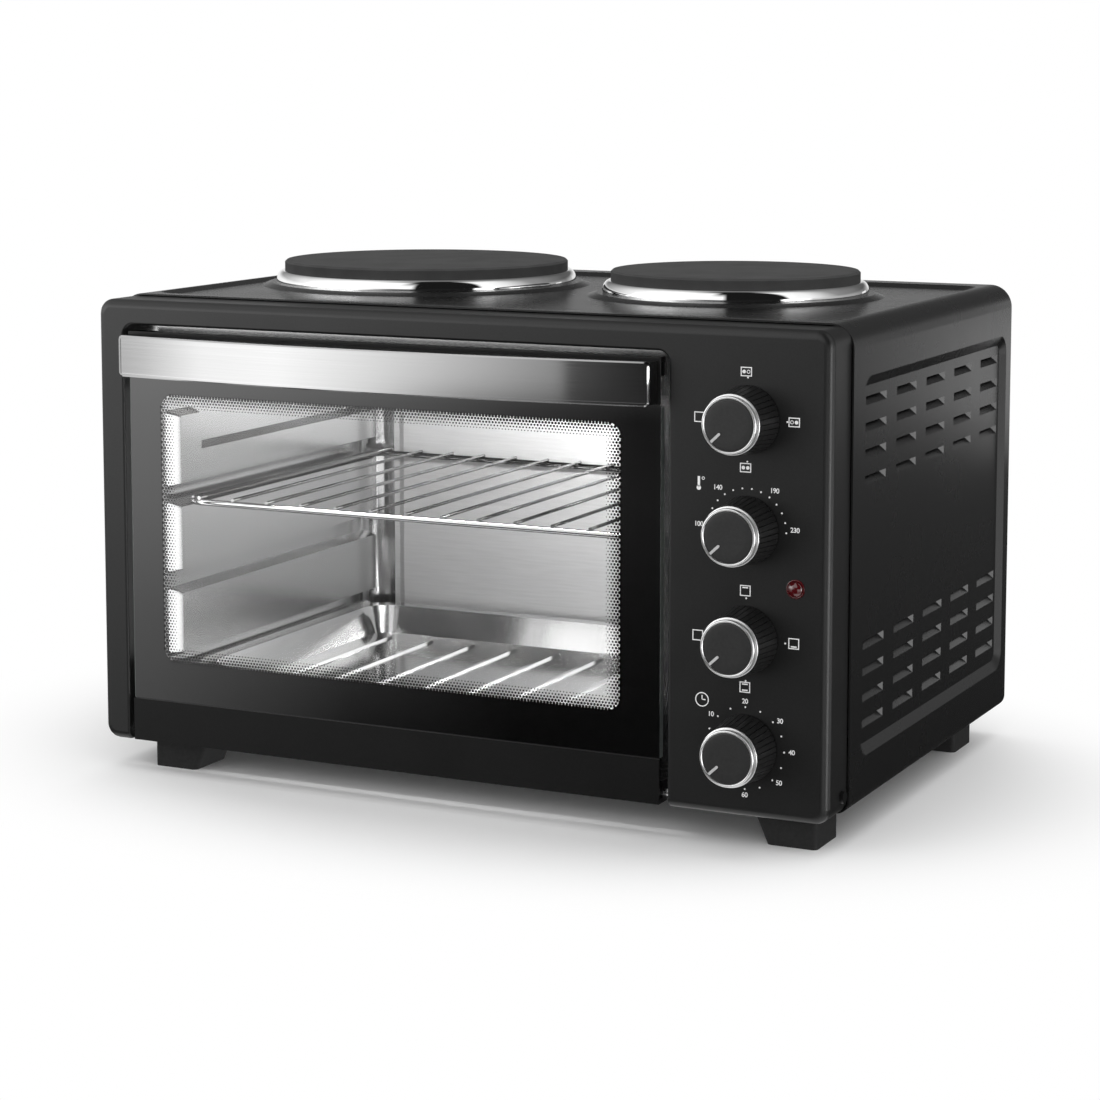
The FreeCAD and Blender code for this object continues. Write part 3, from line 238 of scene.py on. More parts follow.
def cast_iron(node):
    """Matt cast iron, finely turned about the plate's own centre."""
    low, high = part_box(node)
    mat = finish(f"cast_iron_{node}", grey(0.052), roughness=0.8, Specular_IOR_Level=0.15)
    turning = rings(mat, 260, (low + high) / 2)
    shades(mat, noise(mat, 60, detail=5), grey(0.045), grey(0.058))
    vary(mat, turning, "Roughness", 0.74, 0.84)
    relief(mat, turning, 0.02, 0.25)
    relief(mat, noise(mat, 1600), 0.03, 0.25)
    return mat


SLOT_FINISH = {
    "black_paint": casing_coat, "bright_sheet": wall_sheet, "zinc_steel": zinc, "heater_steel": heater_steel,
    "ceramic": ceramic, "chrome": chrome, "black_rubber": rubber, "door_glass": glass, "stainless": stainless,
    "black_plastic": plastic, "switch_plastic": phenolic, "red_lens": lens_red,
}
NODE_FINISH = {
    "front_frame": front_coat, "door_bottom_strip": strip_coat, "door_top_rail": strip_coat,
    "frame_screws": strip_coat, "cavity_back_wall": back_sheet, "cavity_top": top_sheet_painted_shade,
    "cavity_floor": tray_sheet, "baking_tray": tray_sheet, "wire_rack": rack_chrome,
    "left_hotplate": cast_iron("left_hotplate"), "right_hotplate": cast_iron("right_hotplate"),
}
slot_of = {row["node"]: row["material_slot"] for row in frame["record"]["subparts"]}
for name, item in nodes.items():
    item.data.materials.clear()
    item.data.materials.append(NODE_FINISH.get(name) or SLOT_FINISH[slot_of[name]])

# Softened edges on the plain bars and sheets
SOFT_EDGES = {
    "door_bottom_strip": 0.5, "door_top_rail": 0.6, "handle_core": 0.8, "terminal_block": 0.6,
    "base_pan": 0.25, "cavity_mouth": 0.25, "timer": 0.6, "thermostat": 0.6,
}
for name, width in SOFT_EDGES.items():
    weld = nodes[name].modifiers.new("weld", "WELD")
    weld.merge_threshold = 0.002 * MM
    bevel = nodes[name].modifiers.new("bevel", "BEVEL")
    bevel.width = width * MM
    bevel.segments = 3
    bevel.limit_method = "ANGLE"
    bevel.angle_limit = math.radians(40)
    bevel.use_clamp_overlap = True
    bevel.harden_normals = True


# Building new pieces
def piece(name, mesh, body, mat, smooth=None):
    """An object from a bmesh in row millimetres, riding on a body."""
    data = bpy.data.meshes.new(name)
    bmesh.ops.scale(mesh, vec=(MM, MM, MM), verts=mesh.verts)
    bmesh.ops.recalc_face_normals(mesh, faces=mesh.faces)
    mesh.to_mesh(data)
    mesh.free()
    if smooth is not None:
        data.polygons.foreach_set("use_smooth", [True] * len(data.polygons))
        data.set_sharp_from_angle(angle=math.radians(smooth))
    data.materials.append(mat)
    item = bpy.data.objects.new(name, data)
    scene.collection.objects.link(item)
    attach(item, body)
    return item


def lathe(mesh, profile, centre, axis, segments):
    """Turn a closed (radius, distance) profile about an axis through a centre, both in millimetres."""
    axis = Vector(axis).normalized()
    side = axis.orthogonal().normalized()
    other = axis.cross(side)
    loops = []
    for step in range(segments):
        angle = 2 * math.pi * step / segments
        out = side * math.cos(angle) + other * math.sin(angle)
        loops.append([mesh.verts.new(Vector(centre) + out * r + axis * d) for r, d in profile])
    count = len(profile)
    for step, loop in enumerate(loops):
        following = loops[(step + 1) % segments]
        for index in range(count):
            after = (index + 1) % count
            mesh.faces.new((loop[index], loop[after], following[after], following[index]))


def prism(mesh, outline, y_front, y_back):
    """A thin upright plate between two depths, from an outline of (x, z) points."""
    front = [mesh.verts.new((x, y_front, z)) for x, z in outline]
    back = [mesh.verts.new((x, y_back, z)) for x, z in outline]
    mesh.faces.new(front)
    mesh.faces.new(list(reversed(back)))
    ring(mesh, front, back)


def ring(mesh, first, second):
    """Quads between two closed rows of vertices."""
    for index in range(len(first)):
        after = (index + 1) % len(first)
        mesh.faces.new((first[index], first[after], second[after], second[index]))


def round_dot(x, z, radius, sides=12):
    turn = 2 * math.pi / sides
    return [(x + radius * math.sin(turn * k), z + radius * math.cos(turn * k)) for k in range(sides)]


def hollow(mesh, outer, inner, y_front, y_back):
    """A thin upright frame between two outlines with the same number of points."""
    rows = [[mesh.verts.new((x, y, z)) for x, z in outline]
            for outline, y in ((outer, y_front), (inner, y_front), (inner, y_back), (outer, y_back))]
    for index, row in enumerate(rows):
        ring(mesh, row, rows[(index + 1) % 4])


# Spill rings, smoothly turned over the CAD rings
def corners(node):
    """Lowest and highest corner of a node in millimetres."""
    return [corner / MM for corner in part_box(node)]


RING_STEPS = 20
RING_SEGMENTS = 224
RING_METAL = 0.8
RING_LIP = 6.0
for side in ("left", "right"):
    low, high = corners(f"{side}_spill_ring")
    plate_low, plate_high = corners(f"{side}_hotplate")
    plate_radius = (plate_high.x - plate_low.x) / 2
    foot = (high.x - low.x) / 2
    flare = foot - plate_radius
    rise = high.z - low.z
    inner = []
    for step in range(RING_STEPS + 1):
        angle = math.pi / 2 * step / RING_STEPS
        radius = plate_radius + (flare - RING_METAL) * math.sin(angle)
        inner.append((radius, (rise - RING_METAL) * math.cos(angle)))
    outer = [(r + RING_METAL, d + RING_METAL) for r, d in inner]
    lip = plate_radius - RING_LIP
    profile = [(lip, rise - RING_METAL), (lip, rise), *outer, (foot, 0), *reversed(inner)]
    centre = ((low.x + high.x) / 2, (low.y + high.y) / 2, low.z)
    mesh = bmesh.new()
    lathe(mesh, profile, centre, (0, 0, 1), RING_SEGMENTS)
    made = piece(f"{side}_polished_ring", mesh, "chassis", chrome, 50)
    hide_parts(f"{side}_spill_ring")

# Knobs: double chrome rings, satin faces and pointers
COLLAR_PROFILE = [
    (14.3, 22.5), (16.6, 22.5), (16.8, 22.7), (16.85, 23.0), (16.75, 23.3), (16.45, 23.5), (14.3, 23.5),
]
BEAD_PROFILE = [
    (14.3, 24.9), (15.6, 24.9), (15.9, 25.15), (16.05, 25.6), (16.0, 26.1), (15.8, 26.55), (15.45, 26.85),
    (15.05, 26.95), (14.75, 26.8), (14.5, 26.45), (14.3, 26.2),
]
FACE_PROFILE = [
    (0.01, 25.9), (14.25, 25.9), (14.25, 26.1), (13.9, 26.3), (13.3, 26.38), (9.0, 26.34), (0.01, 26.3),
]
TRIM_SEGMENTS = 96
FACE_SEGMENTS = 64
MERGE = 0.03
FORWARD = (0, -1, 0)
POINTER_ANGLE = math.radians(227)
POINTER_ENDS = (7.6, 14.1)
POINTER_WIDTH = 1.5
POINTER_FACE = 26.75
POINTER_BACK = 26.2
POINTER_STEPS = 8


def pointer(mesh, centre, back):
    """A raised round-ended bar on a knob's face, pointing at its mark."""
    outward = Vector((math.sin(POINTER_ANGLE), 0, math.cos(POINTER_ANGLE)))
    across = Vector((outward.z, 0, -outward.x))
    half = POINTER_WIDTH / 2
    near, far = POINTER_ENDS
    outline = [(far, half), (far, -half)]
    for step in range(POINTER_STEPS + 1):
        turn = math.pi * step / POINTER_STEPS
        outline.append((near - half * math.sin(turn), -half * math.cos(turn)))
    points = [centre + outward * a + across * b for a, b in outline]
    prism(mesh, [(point.x, point.z) for point in points], back - POINTER_FACE, back - POINTER_BACK)


for name in KNOBS:
    low, high = corners(f"{name}_knob")
    middle = (low + high) / 2
    axis_point = Vector((middle.x, high.y, middle.z))
    body = f"{name}_knob_body"
    mesh = bmesh.new()
    for profile in (COLLAR_PROFILE, BEAD_PROFILE):
        lathe(mesh, profile, axis_point, FORWARD, TRIM_SEGMENTS)
    made = piece(f"{name}_trim", mesh, body, trim_chrome, 60)
    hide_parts(f"{name}_knob_ring")
    mesh = bmesh.new()
    lathe(mesh, FACE_PROFILE, axis_point, FORWARD, FACE_SEGMENTS)
    bmesh.ops.remove_doubles(mesh, verts=mesh.verts, dist=MERGE)
    piece(f"{name}_face", mesh, body, face_plastic, 40)
    mesh = bmesh.new()
    pointer(mesh, axis_point, high.y)
    piece(f"{name}_pointer", mesh, body, pointer_grey)

# Indicator lens, smoothly domed, in a thin bright rim
LENS_RADIUS = 4.35
LENS_START = 0.6
LENS_RISE = 2.4
LENS_SEGMENTS = 48
lens_profile = [(0.01, LENS_START), (LENS_RADIUS, LENS_START)]
for degrees in range(10, 90, 8):
    angle = math.radians(degrees)
    lens_profile.append((LENS_RADIUS * math.cos(angle), LENS_START + LENS_RISE * math.sin(angle)))
lens_profile.append((0.01, LENS_START + LENS_RISE))
RIM_PROFILE = [(4.3, 0), (5.4, 0), (5.4, 0.35), (5.2, 0.7), (4.8, 0.8), (4.45, 0.65), (4.3, 0.4)]
low, high = corners("indicator_lens")
middle = (low + high) / 2
lens_point = Vector((middle.x, corners("front_frame")[0].y, middle.z))
mesh = bmesh.new()
lathe(mesh, lens_profile, lens_point, FORWARD, LENS_SEGMENTS)
bmesh.ops.remove_doubles(mesh, verts=mesh.verts, dist=MERGE)
made = piece("lens_dome", mesh, "chassis", lens_red, 60)
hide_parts("indicator_lens")
mesh = bmesh.new()
lathe(mesh, RIM_PROFILE, lens_point, FORWARD, LENS_SEGMENTS)
piece("lens_rim", mesh, "chassis", lens_red, 40)

# Rounded upright corners at the back of the cavity
COVE_RADIUS = 18.0
COVE_METAL = 0.4
COVE_PROUD = 0.05
COVE_STEPS = 16
cove_low = corners("cavity_floor")[1].z
cove_high = corners("cavity_top")[0].z
cove_back = corners("cavity_top")[1].y
mesh = bmesh.new()
for corner, inwards in ((corners("cavity_floor")[0].x, 1), (corners("cavity_floor")[1].x, -1)):
    arcs = []
    for radius in (COVE_RADIUS, COVE_RADIUS + COVE_METAL):
        for z in (cove_low + COVE_PROUD, cove_high - COVE_PROUD):
            line = []
            for step in range(COVE_STEPS + 1):
                turn = math.pi / 2 * step / COVE_STEPS
                x = corner + inwards * (COVE_PROUD + COVE_RADIUS - radius * math.cos(turn))
                y = cove_back - COVE_PROUD - COVE_RADIUS + radius * math.sin(turn)
                line.append(mesh.verts.new((x, y, z)))
            arcs.append(line)
    inside_low, inside_high, outside_low, outside_high = arcs
    around = [inside_low, inside_high, outside_high, outside_low]
    for first, second in zip(around, around[1:] + around[:1]):
        for step in range(COVE_STEPS):
            mesh.faces.new((first[step], first[step + 1], second[step + 1], second[step]))
    for end in (0, COVE_STEPS):
        mesh.faces.new([line[end] for line in around])
piece("cavity_corners", mesh, "chassis", tray_sheet, 40)

# Dial prints on the control panel
panel_y = corners("front_frame")[0].y
PRINT_FRONT = panel_y - 0.08
PRINT_BACK = panel_y + 0.05
DOT_CIRCLE = 23.2
DOT_SIZE = 0.52
LABEL_SIZE = 3.9
LABEL_WEIGHT = 0.05
LABEL_SPACING = 0.92
ICON_LINE = 0.55
THIN_LINE = 0.35
CIRCLE_SIDES = 28
BOX_CORNERS = [(-1, -1), (-1, 1), (1, 1), (1, -1)]
prints = bmesh.new()
dial = {}
for name in KNOBS:
    low, high = corners(f"{name}_shaft")
    dial[name] = ((low.x + high.x) / 2, (low.z + high.z) / 2)


def from_dial(name, offset):
    """A point on the panel by its offset from a dial's centre."""
    return dial[name][0] + offset[0], dial[name][1] + offset[1]


def print_spot(x, z, radius):
    prism(prints, round_dot(x, z, radius), PRINT_FRONT, PRINT_BACK)


def print_dot(name, degrees):
    """A dot of a dial's circle, by degrees clockwise from the top."""
    turn = math.radians(degrees)
    offset = (DOT_CIRCLE * math.sin(turn), DOT_CIRCLE * math.cos(turn))
    print_spot(*from_dial(name, offset), DOT_SIZE)


def print_bar(x, z, half_x, half_z):
    outline = [(x + a * half_x, z + b * half_z) for a, b in BOX_CORNERS]
    prism(prints, outline, PRINT_FRONT, PRINT_BACK)


def print_box(x, z, half_x, half_z):
    """A rectangle's outline, drawn with an even line."""
    outer = [(x + a * half_x, z + b * half_z) for a, b in BOX_CORNERS]
    inner = [(x + a * (half_x - ICON_LINE), z + b * (half_z - ICON_LINE)) for a, b in BOX_CORNERS]
    hollow(prints, outer, inner, PRINT_FRONT, PRINT_BACK)


def print_circle(x, z, radius, line):
    outer = round_dot(x, z, radius, CIRCLE_SIDES)
    inner = round_dot(x, z, radius - line, CIRCLE_SIDES)
    hollow(prints, outer, inner, PRINT_FRONT, PRINT_BACK)


def print_label(text, x, z):
    """Numbers as flat letters with a little thickness, turned to face the front."""
    curve = bpy.data.curves.new("label", "FONT")
    curve.body = text
    curve.size = LABEL_SIZE
    curve.align_x = "CENTER"
    curve.align_y = "CENTER"
    curve.extrude = (PRINT_BACK - PRINT_FRONT) / 2
    curve.offset = LABEL_WEIGHT
    curve.space_character = LABEL_SPACING
    curve.resolution_u = 4
    item = bpy.data.objects.new("label", curve)
    scene.collection.objects.link(item)
    bpy.context.view_layer.update()
    data = bpy.data.meshes.new_from_object(item.evaluated_get(bpy.context.evaluated_depsgraph_get()))
    upright = Matrix.Rotation(math.pi / 2, 4, "X")
    data.transform(Matrix.Translation((x, (PRINT_FRONT + PRINT_BACK) / 2, z)) @ upright)
    prints.from_mesh(data)
    bpy.data.objects.remove(item)
    bpy.data.curves.remove(curve)
    bpy.data.meshes.remove(data)


# Hot-plate selector: left plate, right plate, both, off
HOB_ICONS = {(-1.0, 26.4): (True, False), (27.2, 0): (False, True), (-1.0, -26.6): (True, True)}
HOB_BOX = (3.3, 2.6)
HOB_PLATE = 1.05
HOB_PLATE_X = 1.3
HOB_OFF = (-28.5, 0)
HOB_OFF_BOX = (3.2, 2.9)
QUARTERS = (0, 90, 180)
for offset, lit in HOB_ICONS.items():
    x, z = from_dial("hotplate", offset)
    print_box(x, z, *HOB_BOX)
    for plate_x, on in zip((x - HOB_PLATE_X, x + HOB_PLATE_X), lit):
        if on:
            print_spot(plate_x, z, HOB_PLATE)
        else:
            print_circle(plate_x, z, HOB_PLATE, THIN_LINE)
for degrees in QUARTERS:
    print_dot("hotplate", degrees)
print_box(*from_dial("hotplate", HOB_OFF), *HOB_OFF_BOX)

# Thermostat: fourteen dots over the upper half turn, four of them numbered, and a thermometer
TEMPERATURES = {"100": (-28.6, 1.5), "140": (-17.4, 22.6), "190": (16.2, 22.8), "230": (28.3, 1.8)}
THERMOSTAT_DOTS = 14
THERMOMETER = (-28.7, 24.4)
for step in range(THERMOSTAT_DOTS):
    print_dot("thermostat", -90 + step * 180 / (THERMOSTAT_DOTS - 1))
for text, offset in TEMPERATURES.items():
    print_label(text, *from_dial("thermostat", offset))
x, z = from_dial("thermostat", THERMOMETER)
print_spot(x, z - 2.6, 1.35)
print_bar(x, z + 0.9, 0.7, 2.9)
print_circle(x + 2.6, z + 2.8, 0.9, THIN_LINE)

# Function selector: top heat, bottom heat, both, off
HEAT_ICONS = {(-0.6, 27.4): (1,), (28.2, 0.2): (-1,), (-0.4, -26.8): (1, -1)}
HEAT_BOX = (3.15, 3.05)
HEAT_BAR = (1.7, 0.35)
HEAT_BAR_Z = 1.7
HEAT_OFF = (-28.8, 0)
HEAT_OFF_BOX = (3.2, 3.05)
for offset, levels in HEAT_ICONS.items():
    x, z = from_dial("function", offset)
    print_box(x, z, *HEAT_BOX)
    for level in levels:
        print_bar(x, z + level * HEAT_BAR_Z, *HEAT_BAR)
for degrees in QUARTERS:
    print_dot("function", degrees)
print_box(*from_dial("function", HEAT_OFF), *HEAT_OFF_BOX)

# Timer: a dot every five minutes, a number every ten, and a clock sign
MINUTES = {
    "10": (-20.6, 17.2), "20": (-0.2, 26.4), "30": (20.6, 17.3), "40": (27.7, 0.3), "50": (20.3, -17.6),
    "60": (0, -26.6),
}
TIMER_DOTS = 12
TIMER_FIRST = -67.5
TIMER_STEP = 22.5
CLOCK = (-26, 25)
CLOCK_RADIUS = 4.1
for step in range(TIMER_DOTS):
    print_dot("timer", TIMER_FIRST + step * TIMER_STEP)
for text, offset in MINUTES.items():
    print_label(text, *from_dial("timer", offset))
x, z = from_dial("timer", CLOCK)
print_circle(x, z, CLOCK_RADIUS, ICON_LINE)
print_bar(x, z + 1.1, 0.3, 1.4)
print_bar(x + 0.9, z, 1.2, 0.3)
bmesh.ops.triangulate(prints, faces=[face for face in prints.faces if len(face.verts) > 4])
piece("dial_marks", prints, "chassis", dial_print)

# Printed border on the door glass, fading inwards in rows of dots
glass_low, glass_high = corners("door_glass")
WINDOW = ((-193.0, 70.4), (113.0, 234.9))
WINDOW_CORNER = 8.0
BORDER_MARGIN = 0.4
border_y = (glass_low.y - 0.05, glass_low.y - 0.01)
ARC_STEPS = 8


def window_outline():
    """The window's rounded outline, and as many points along the pane's edge."""
    (x0, z0), (x1, z1) = WINDOW
    radius = WINDOW_CORNER
    centres = [
        (x1 - radius, z1 - radius, 0), (x1 - radius, z0 + radius, 90),
        (x0 + radius, z0 + radius, 180), (x0 + radius, z1 - radius, 270),
    ]
    inner = []
    outer = []
    for cx, cz, start in centres:
        edge_x = glass_high.x - BORDER_MARGIN if start < 180 else glass_low.x + BORDER_MARGIN
        edge_z = glass_high.z - BORDER_MARGIN if start in (0, 270) else glass_low.z + BORDER_MARGIN
        corner = Vector((edge_x, edge_z))
        ends = [Vector((cx, edge_z)), Vector((edge_x, cz))]
        if start in (90, 270):
            ends.reverse()
        for step in range(ARC_STEPS + 1):
            turn = math.radians(start + 90 * step / ARC_STEPS)
            inner.append((cx + radius * math.sin(turn), cz + radius * math.cos(turn)))
            share = 2 * step / ARC_STEPS
            point = ends[0].lerp(corner, share) if share <= 1 else corner.lerp(ends[1], share - 1)
            outer.append(tuple(point))
    return inner, outer


mesh = bmesh.new()
inner, outer = window_outline()
hollow(mesh, outer, inner, *border_y)
piece("glass_border", mesh, "door", glass_print)

DOT_PITCH = 2.05
DOT_ROWS = 5
DOT_LARGE = 1.0
DOT_SMALL = 0.3
DOT_SIDES = 10
FIRST_SHARE = 0.02
mesh = bmesh.new()
row_gap = DOT_PITCH * math.sqrt(3) / 2
(x0, z0), (x1, z1) = WINDOW
columns = int((x1 - x0) / DOT_PITCH)
rows = int((z1 - z0) / row_gap)
left_margin = (x1 - x0 - columns * DOT_PITCH) / 2
low_margin = (z1 - z0 - rows * row_gap) / 2
for row in range(rows + 1):
    z = z0 + low_margin + row * row_gap
    for column in range(columns + 1):
        x = x0 + left_margin + (column + 0.5 * (row % 2)) * DOT_PITCH
        dx = min(x - x0, x1 - x)
        dz = min(z - z0, z1 - z)
        depth = min(dx, dz)
        if dx < WINDOW_CORNER and dz < WINDOW_CORNER:
            depth = WINDOW_CORNER - math.hypot(WINDOW_CORNER - dx, WINDOW_CORNER - dz)
        share = depth / (DOT_ROWS * row_gap)
        if FIRST_SHARE < share < 1:
            size = DOT_LARGE + (DOT_SMALL - DOT_LARGE) * share
            prism(mesh, round_dot(x, z, size, DOT_SIDES), *border_y)
piece("glass_dots", mesh, "door", glass_print)

# Ground edges of the pane: a thin line along the left, the ground front chamfer with a painted highlight, and
# the whole thickness on the right
EDGE_PROUD = 0.05
EDGE_LINE = 0.35
EDGE_FRONT = 0.04
EDGE_LINE_DEPTH = 0.8
EDGE_BACK = 0.2
EDGE_LOW = 24.0
EDGE_HIGH = 25.0
edge_low, edge_high = glass_low.z + EDGE_LOW, glass_high.z - EDGE_HIGH
edge_plates = [
    (glass_low.x - EDGE_PROUD, glass_low.x + EDGE_LINE, glass_low.y + EDGE_LINE_DEPTH),
    (glass_high.x - EDGE_PROUD, glass_high.x + EDGE_PROUD, glass_high.y + EDGE_BACK),
]
mesh = bmesh.new()
for near, far, back in edge_plates:
    outline = [(near, edge_low), (near, edge_high), (far, edge_high), (far, edge_low)]
    prism(mesh, outline, glass_low.y - EDGE_FRONT, back)
piece("glass_ground_edges", mesh, "door", glass_edge)


# Stage: floor, reflected dome and panel, lamps and world
def stage_object(name, mesh, mat):
    """An object that belongs to the picture and not to the part."""
    data = bpy.data.meshes.new(name)
    mesh.to_mesh(data)
    mesh.free()
    data.materials.append(mat)
    item = bpy.data.objects.new(name, data)
    scene.collection.objects.link(item)
    return item


# A pale floor that keeps the shadow near the oven and fades to white around it
FLOOR_SHADE = 0.9
FLOOR_RADIUS = 6
FADE_START = 0.25
FADE_END = 0.45
FADE_SHAPE = (1, 1.35, 0)
floor_mat = finish("floor", grey(FLOOR_SHADE), roughness=1.0, Specular_IOR_Level=0.0)
tree = floor_mat.node_tree
position = add(floor_mat, "ShaderNodeNewGeometry").outputs["Position"]
flat = add(floor_mat, "ShaderNodeVectorMath", [(0, position)])
flat.operation = "MULTIPLY"
flat.inputs[1].default_value = FADE_SHAPE
away = add(floor_mat, "ShaderNodeVectorMath", [(0, flat.outputs["Vector"])])
away.operation = "LENGTH"
fade = add(floor_mat, "ShaderNodeMapRange", [("Value", away.outputs["Value"])])
fade.interpolation_type = "SMOOTHSTEP"
fade.inputs["From Min"].default_value = FADE_START
fade.inputs["From Max"].default_value = FADE_END
white = add(floor_mat, "ShaderNodeEmission", Color=(1, 1, 1, 1), Strength=1.0)
blend = add(floor_mat, "ShaderNodeMixShader", [("Fac", fade.outputs["Result"])])
tree.links.new(shader_of(floor_mat).outputs["BSDF"], blend.inputs[1])
tree.links.new(white.outputs["Emission"], blend.inputs[2])
tree.links.new(blend.outputs["Shader"], tree.nodes["Material Output"].inputs["Surface"])
mesh = bmesh.new()
bmesh.ops.create_circle(mesh, cap_ends=True, segments=64, radius=FLOOR_RADIUS)
floor = stage_object("floor", mesh, floor_mat)
floor.visible_glossy = False


def glowing(name):
    """A material that only gives light, and its Emission node."""
    mat = bpy.data.materials.new(name)
    mat.use_nodes = True
    mat.node_tree.nodes.remove(shader_of(mat))
    glow = add(mat, "ShaderNodeEmission", Color=(1, 1, 1, 1), Strength=1.0)
    surface = mat.node_tree.nodes["Material Output"].inputs["Surface"]
    mat.node_tree.links.new(glow.outputs["Emission"], surface)
    return mat, glow


# A dome that only reflections see. Each row gives the brightness at one height in degrees, by degrees left
# of the front: a soft panel to the front left, a narrow strong one to the right with a low soft one on each
# side of it, a dark gap above the low ones and a plain back.
DOME_RADIUS = 2.4
DOME_CENTRE = 0.15
RIGHT_STRIP = [(-79, 7), (-67, 7)]
BEHIND_STRIP = [(-122, 1.6), (-96, 1.6)]
BEFORE_STRIP = [(-48, 1.3), (-20, 1.3)]
HANDLE_ROW = [
    (-180, 0.18), (-165, 0.14), (-130, 0.2), *BEHIND_STRIP, (-90, 0.4), (-84, 0.4), *RIGHT_STRIP,
    (-62, 0.05), (-55, 0.05), *BEFORE_STRIP, (-14, 0.05), (5.5, 0.03), (9.3, 0.1), (11.2, 0.14),
    (11.6, 0.5), (14, 0.6), (21, 0.98), (28.6, 1.42), (35.9, 1.82), (43, 1.69), (46.6, 1.21), (49.4, 0.85),
    (53, 0.6), (75, 0.7), (150, 0.4), (180, 0.2),
]
DOME = [
    (-40, [(-180, 0.03), (180, 0.03)]),
    (-20, [
        (-180, 0.03), (-84, 0.05), (-79, 2), (-67, 2), (-62, 0.02), (-55, 0.02), (-48, 0.8), (-20, 0.8),
        (-14, 0.02), (24, 0.01), (34, 0.1), (60, 0.1), (150, 0.03), (180, 0.03),
    ]),
    (-15, [
        (-180, 0.03), (-130, 0.04), (-122, 1.4), (-96, 1.4), (-90, 0.1), (-84, 0.1), *RIGHT_STRIP,
        (-62, 0.03), (-55, 0.03), *BEFORE_STRIP, (-14, 0.03), (24, 0.01), (29.5, 0.1), (33, 0.35), (36, 0.6),
        (42, 0.7), (50, 0.5), (75, 0.3), (150, 0.04), (180, 0.03),
    ]),
    (-11.2, [
        (-180, 0.05), (-130, 0.08), *BEHIND_STRIP, (-90, 0.2), (-84, 0.2), *RIGHT_STRIP,
        (-62, 0.04), (-55, 0.04), *BEFORE_STRIP, (-14, 0.04), (18, 0.03), (20, 0.04), (25, 0.08), (29, 0.35),
        (33, 0.7), (36, 0.88), (42, 1.1), (50, 0.8), (60, 0.4), (150, 0.06), (180, 0.05),
    ]),
    (-7.6, [
        (-180, 0.1), (-165, 0.08), (-130, 0.15), *BEHIND_STRIP, (-90, 0.3), (-84, 0.3), *RIGHT_STRIP,
        (-62, 0.05), (-55, 0.05), *BEFORE_STRIP, (-14, 0.05), (14, 0.05), (20, 0.1), (24, 0.2), (28, 0.65),
        (32, 1.1), (36, 1.35), (42, 1.5), (50, 0.9), (60, 0.5), (150, 0.12), (180, 0.1),
    ]),
    (-4.6, [
        (-180, 0.14), (-165, 0.12), (-130, 0.2), *BEHIND_STRIP, (-90, 0.4), (-84, 0.4), *RIGHT_STRIP,
        (-62, 0.05), (-55, 0.05), *BEFORE_STRIP, (-14, 0.05), (16, 0.04), (20, 0.08), (24, 0.4), (28, 0.95),
        (32, 1.35), (36, 1.66), (42, 1.66), (50, 0.9), (75, 0.6), (150, 0.3), (180, 0.14),
    ]),
    (-3.7, HANDLE_ROW),
    (-2, HANDLE_ROW),
    (1, [
        (-180, 0.6), (-165, 0.25), (-84, 0.5), *RIGHT_STRIP, (-62, 0.012), (0, 0.02), (5, 0.08), (14, 0.6),
        (24, 1.4), (32, 3), (60, 3), (80, 1.2), (140, 0.9), (180, 0.8),
    ]),
    (7, [
        (-180, 0.6), (-165, 0.25), (-92, 0.7), (-80, 3), (-66, 3), (-62, 0.012), (0, 0.02), (14, 0.6),
        (24, 1.4), (32, 3.4), (60, 3.4), (80, 1.2), (140, 0.9), (180, 0.8),
    ]),
    (15, [
        (-180, 0.12), (-165, 0.1), (-120, 0.3), (-92, 1.0), (-72, 1.2), (-68, 0.01), (-18, 0.01), (-14, 1.2),
        (24, 1.4), (32, 3), (60, 3), (80, 1), (120, 0.4), (150, 0.12), (180, 0.12),
    ]),
    (30, [
        (-180, 0.1), (-120, 0.3), (-92, 1.0), (-72, 1.2), (-68, 0.01), (-18, 0.01), (-14, 1.2), (60, 1.4),
        (120, 0.4), (150, 0.1), (180, 0.1),
    ]),
    (60, [
        (-180, 0.1), (-130, 0.3), (-100, 1.0), (-76, 1.2), (-70, 0.01), (-10, 0.01), (0, 1.2), (60, 1.2),
        (120, 0.4), (180, 0.1),
    ]),
    (80, [(-180, 0.2), (-120, 0.3), (-100, 0.01), (30, 0.01), (50, 0.6), (120, 0.3), (180, 0.2)]),
    (90, [(-180, 0.1), (180, 0.1)]),
]
COLUMNS = 720
FINE_HEIGHTS = [-20 + 0.5 * step for step in range(72)]
HEIGHTS = [*range(-40, -20, 4), *FINE_HEIGHTS, *range(16, 91, 4), 90]


def between(stops, at, value):
    """Straight-line value between the nearest stops."""
    for (a, first), (b, second) in zip(stops, stops[1:]):
        if a <= at <= b:
            low = value(first)
            return low + (value(second) - low) * (at - a) / (b - a)
    return value(stops[-1][1])


def dome_light(degrees, height):
    return between(DOME, height, lambda row: between(row, degrees, float))


mesh = bmesh.new()
shade = mesh.verts.layers.float_color.new("light")
grid = []
for height in HEIGHTS:
    rise = math.radians(height)
    reach = DOME_RADIUS * math.cos(rise)
    z = DOME_CENTRE + DOME_RADIUS * math.sin(rise)
    line = []
    for column in range(COLUMNS + 1):
        degrees = -180 + 360 * column / COLUMNS
        turn = math.radians(degrees)
        vert = mesh.verts.new((-reach * math.sin(turn), -reach * math.cos(turn), z))
        vert[shade] = (*grey(dome_light(degrees, height)), 1)
        line.append(vert)
    grid.append(line)
for lower, upper in zip(grid, grid[1:]):
    for index in range(COLUMNS):
        mesh.faces.new((lower[index], lower[index + 1], upper[index + 1], upper[index]))
dome_mat, glow = glowing("reflected_dome")
stored = add(dome_mat, "ShaderNodeAttribute")
stored.attribute_name = "light"
dome_mat.node_tree.links.new(stored.outputs["Color"], glow.inputs["Color"])
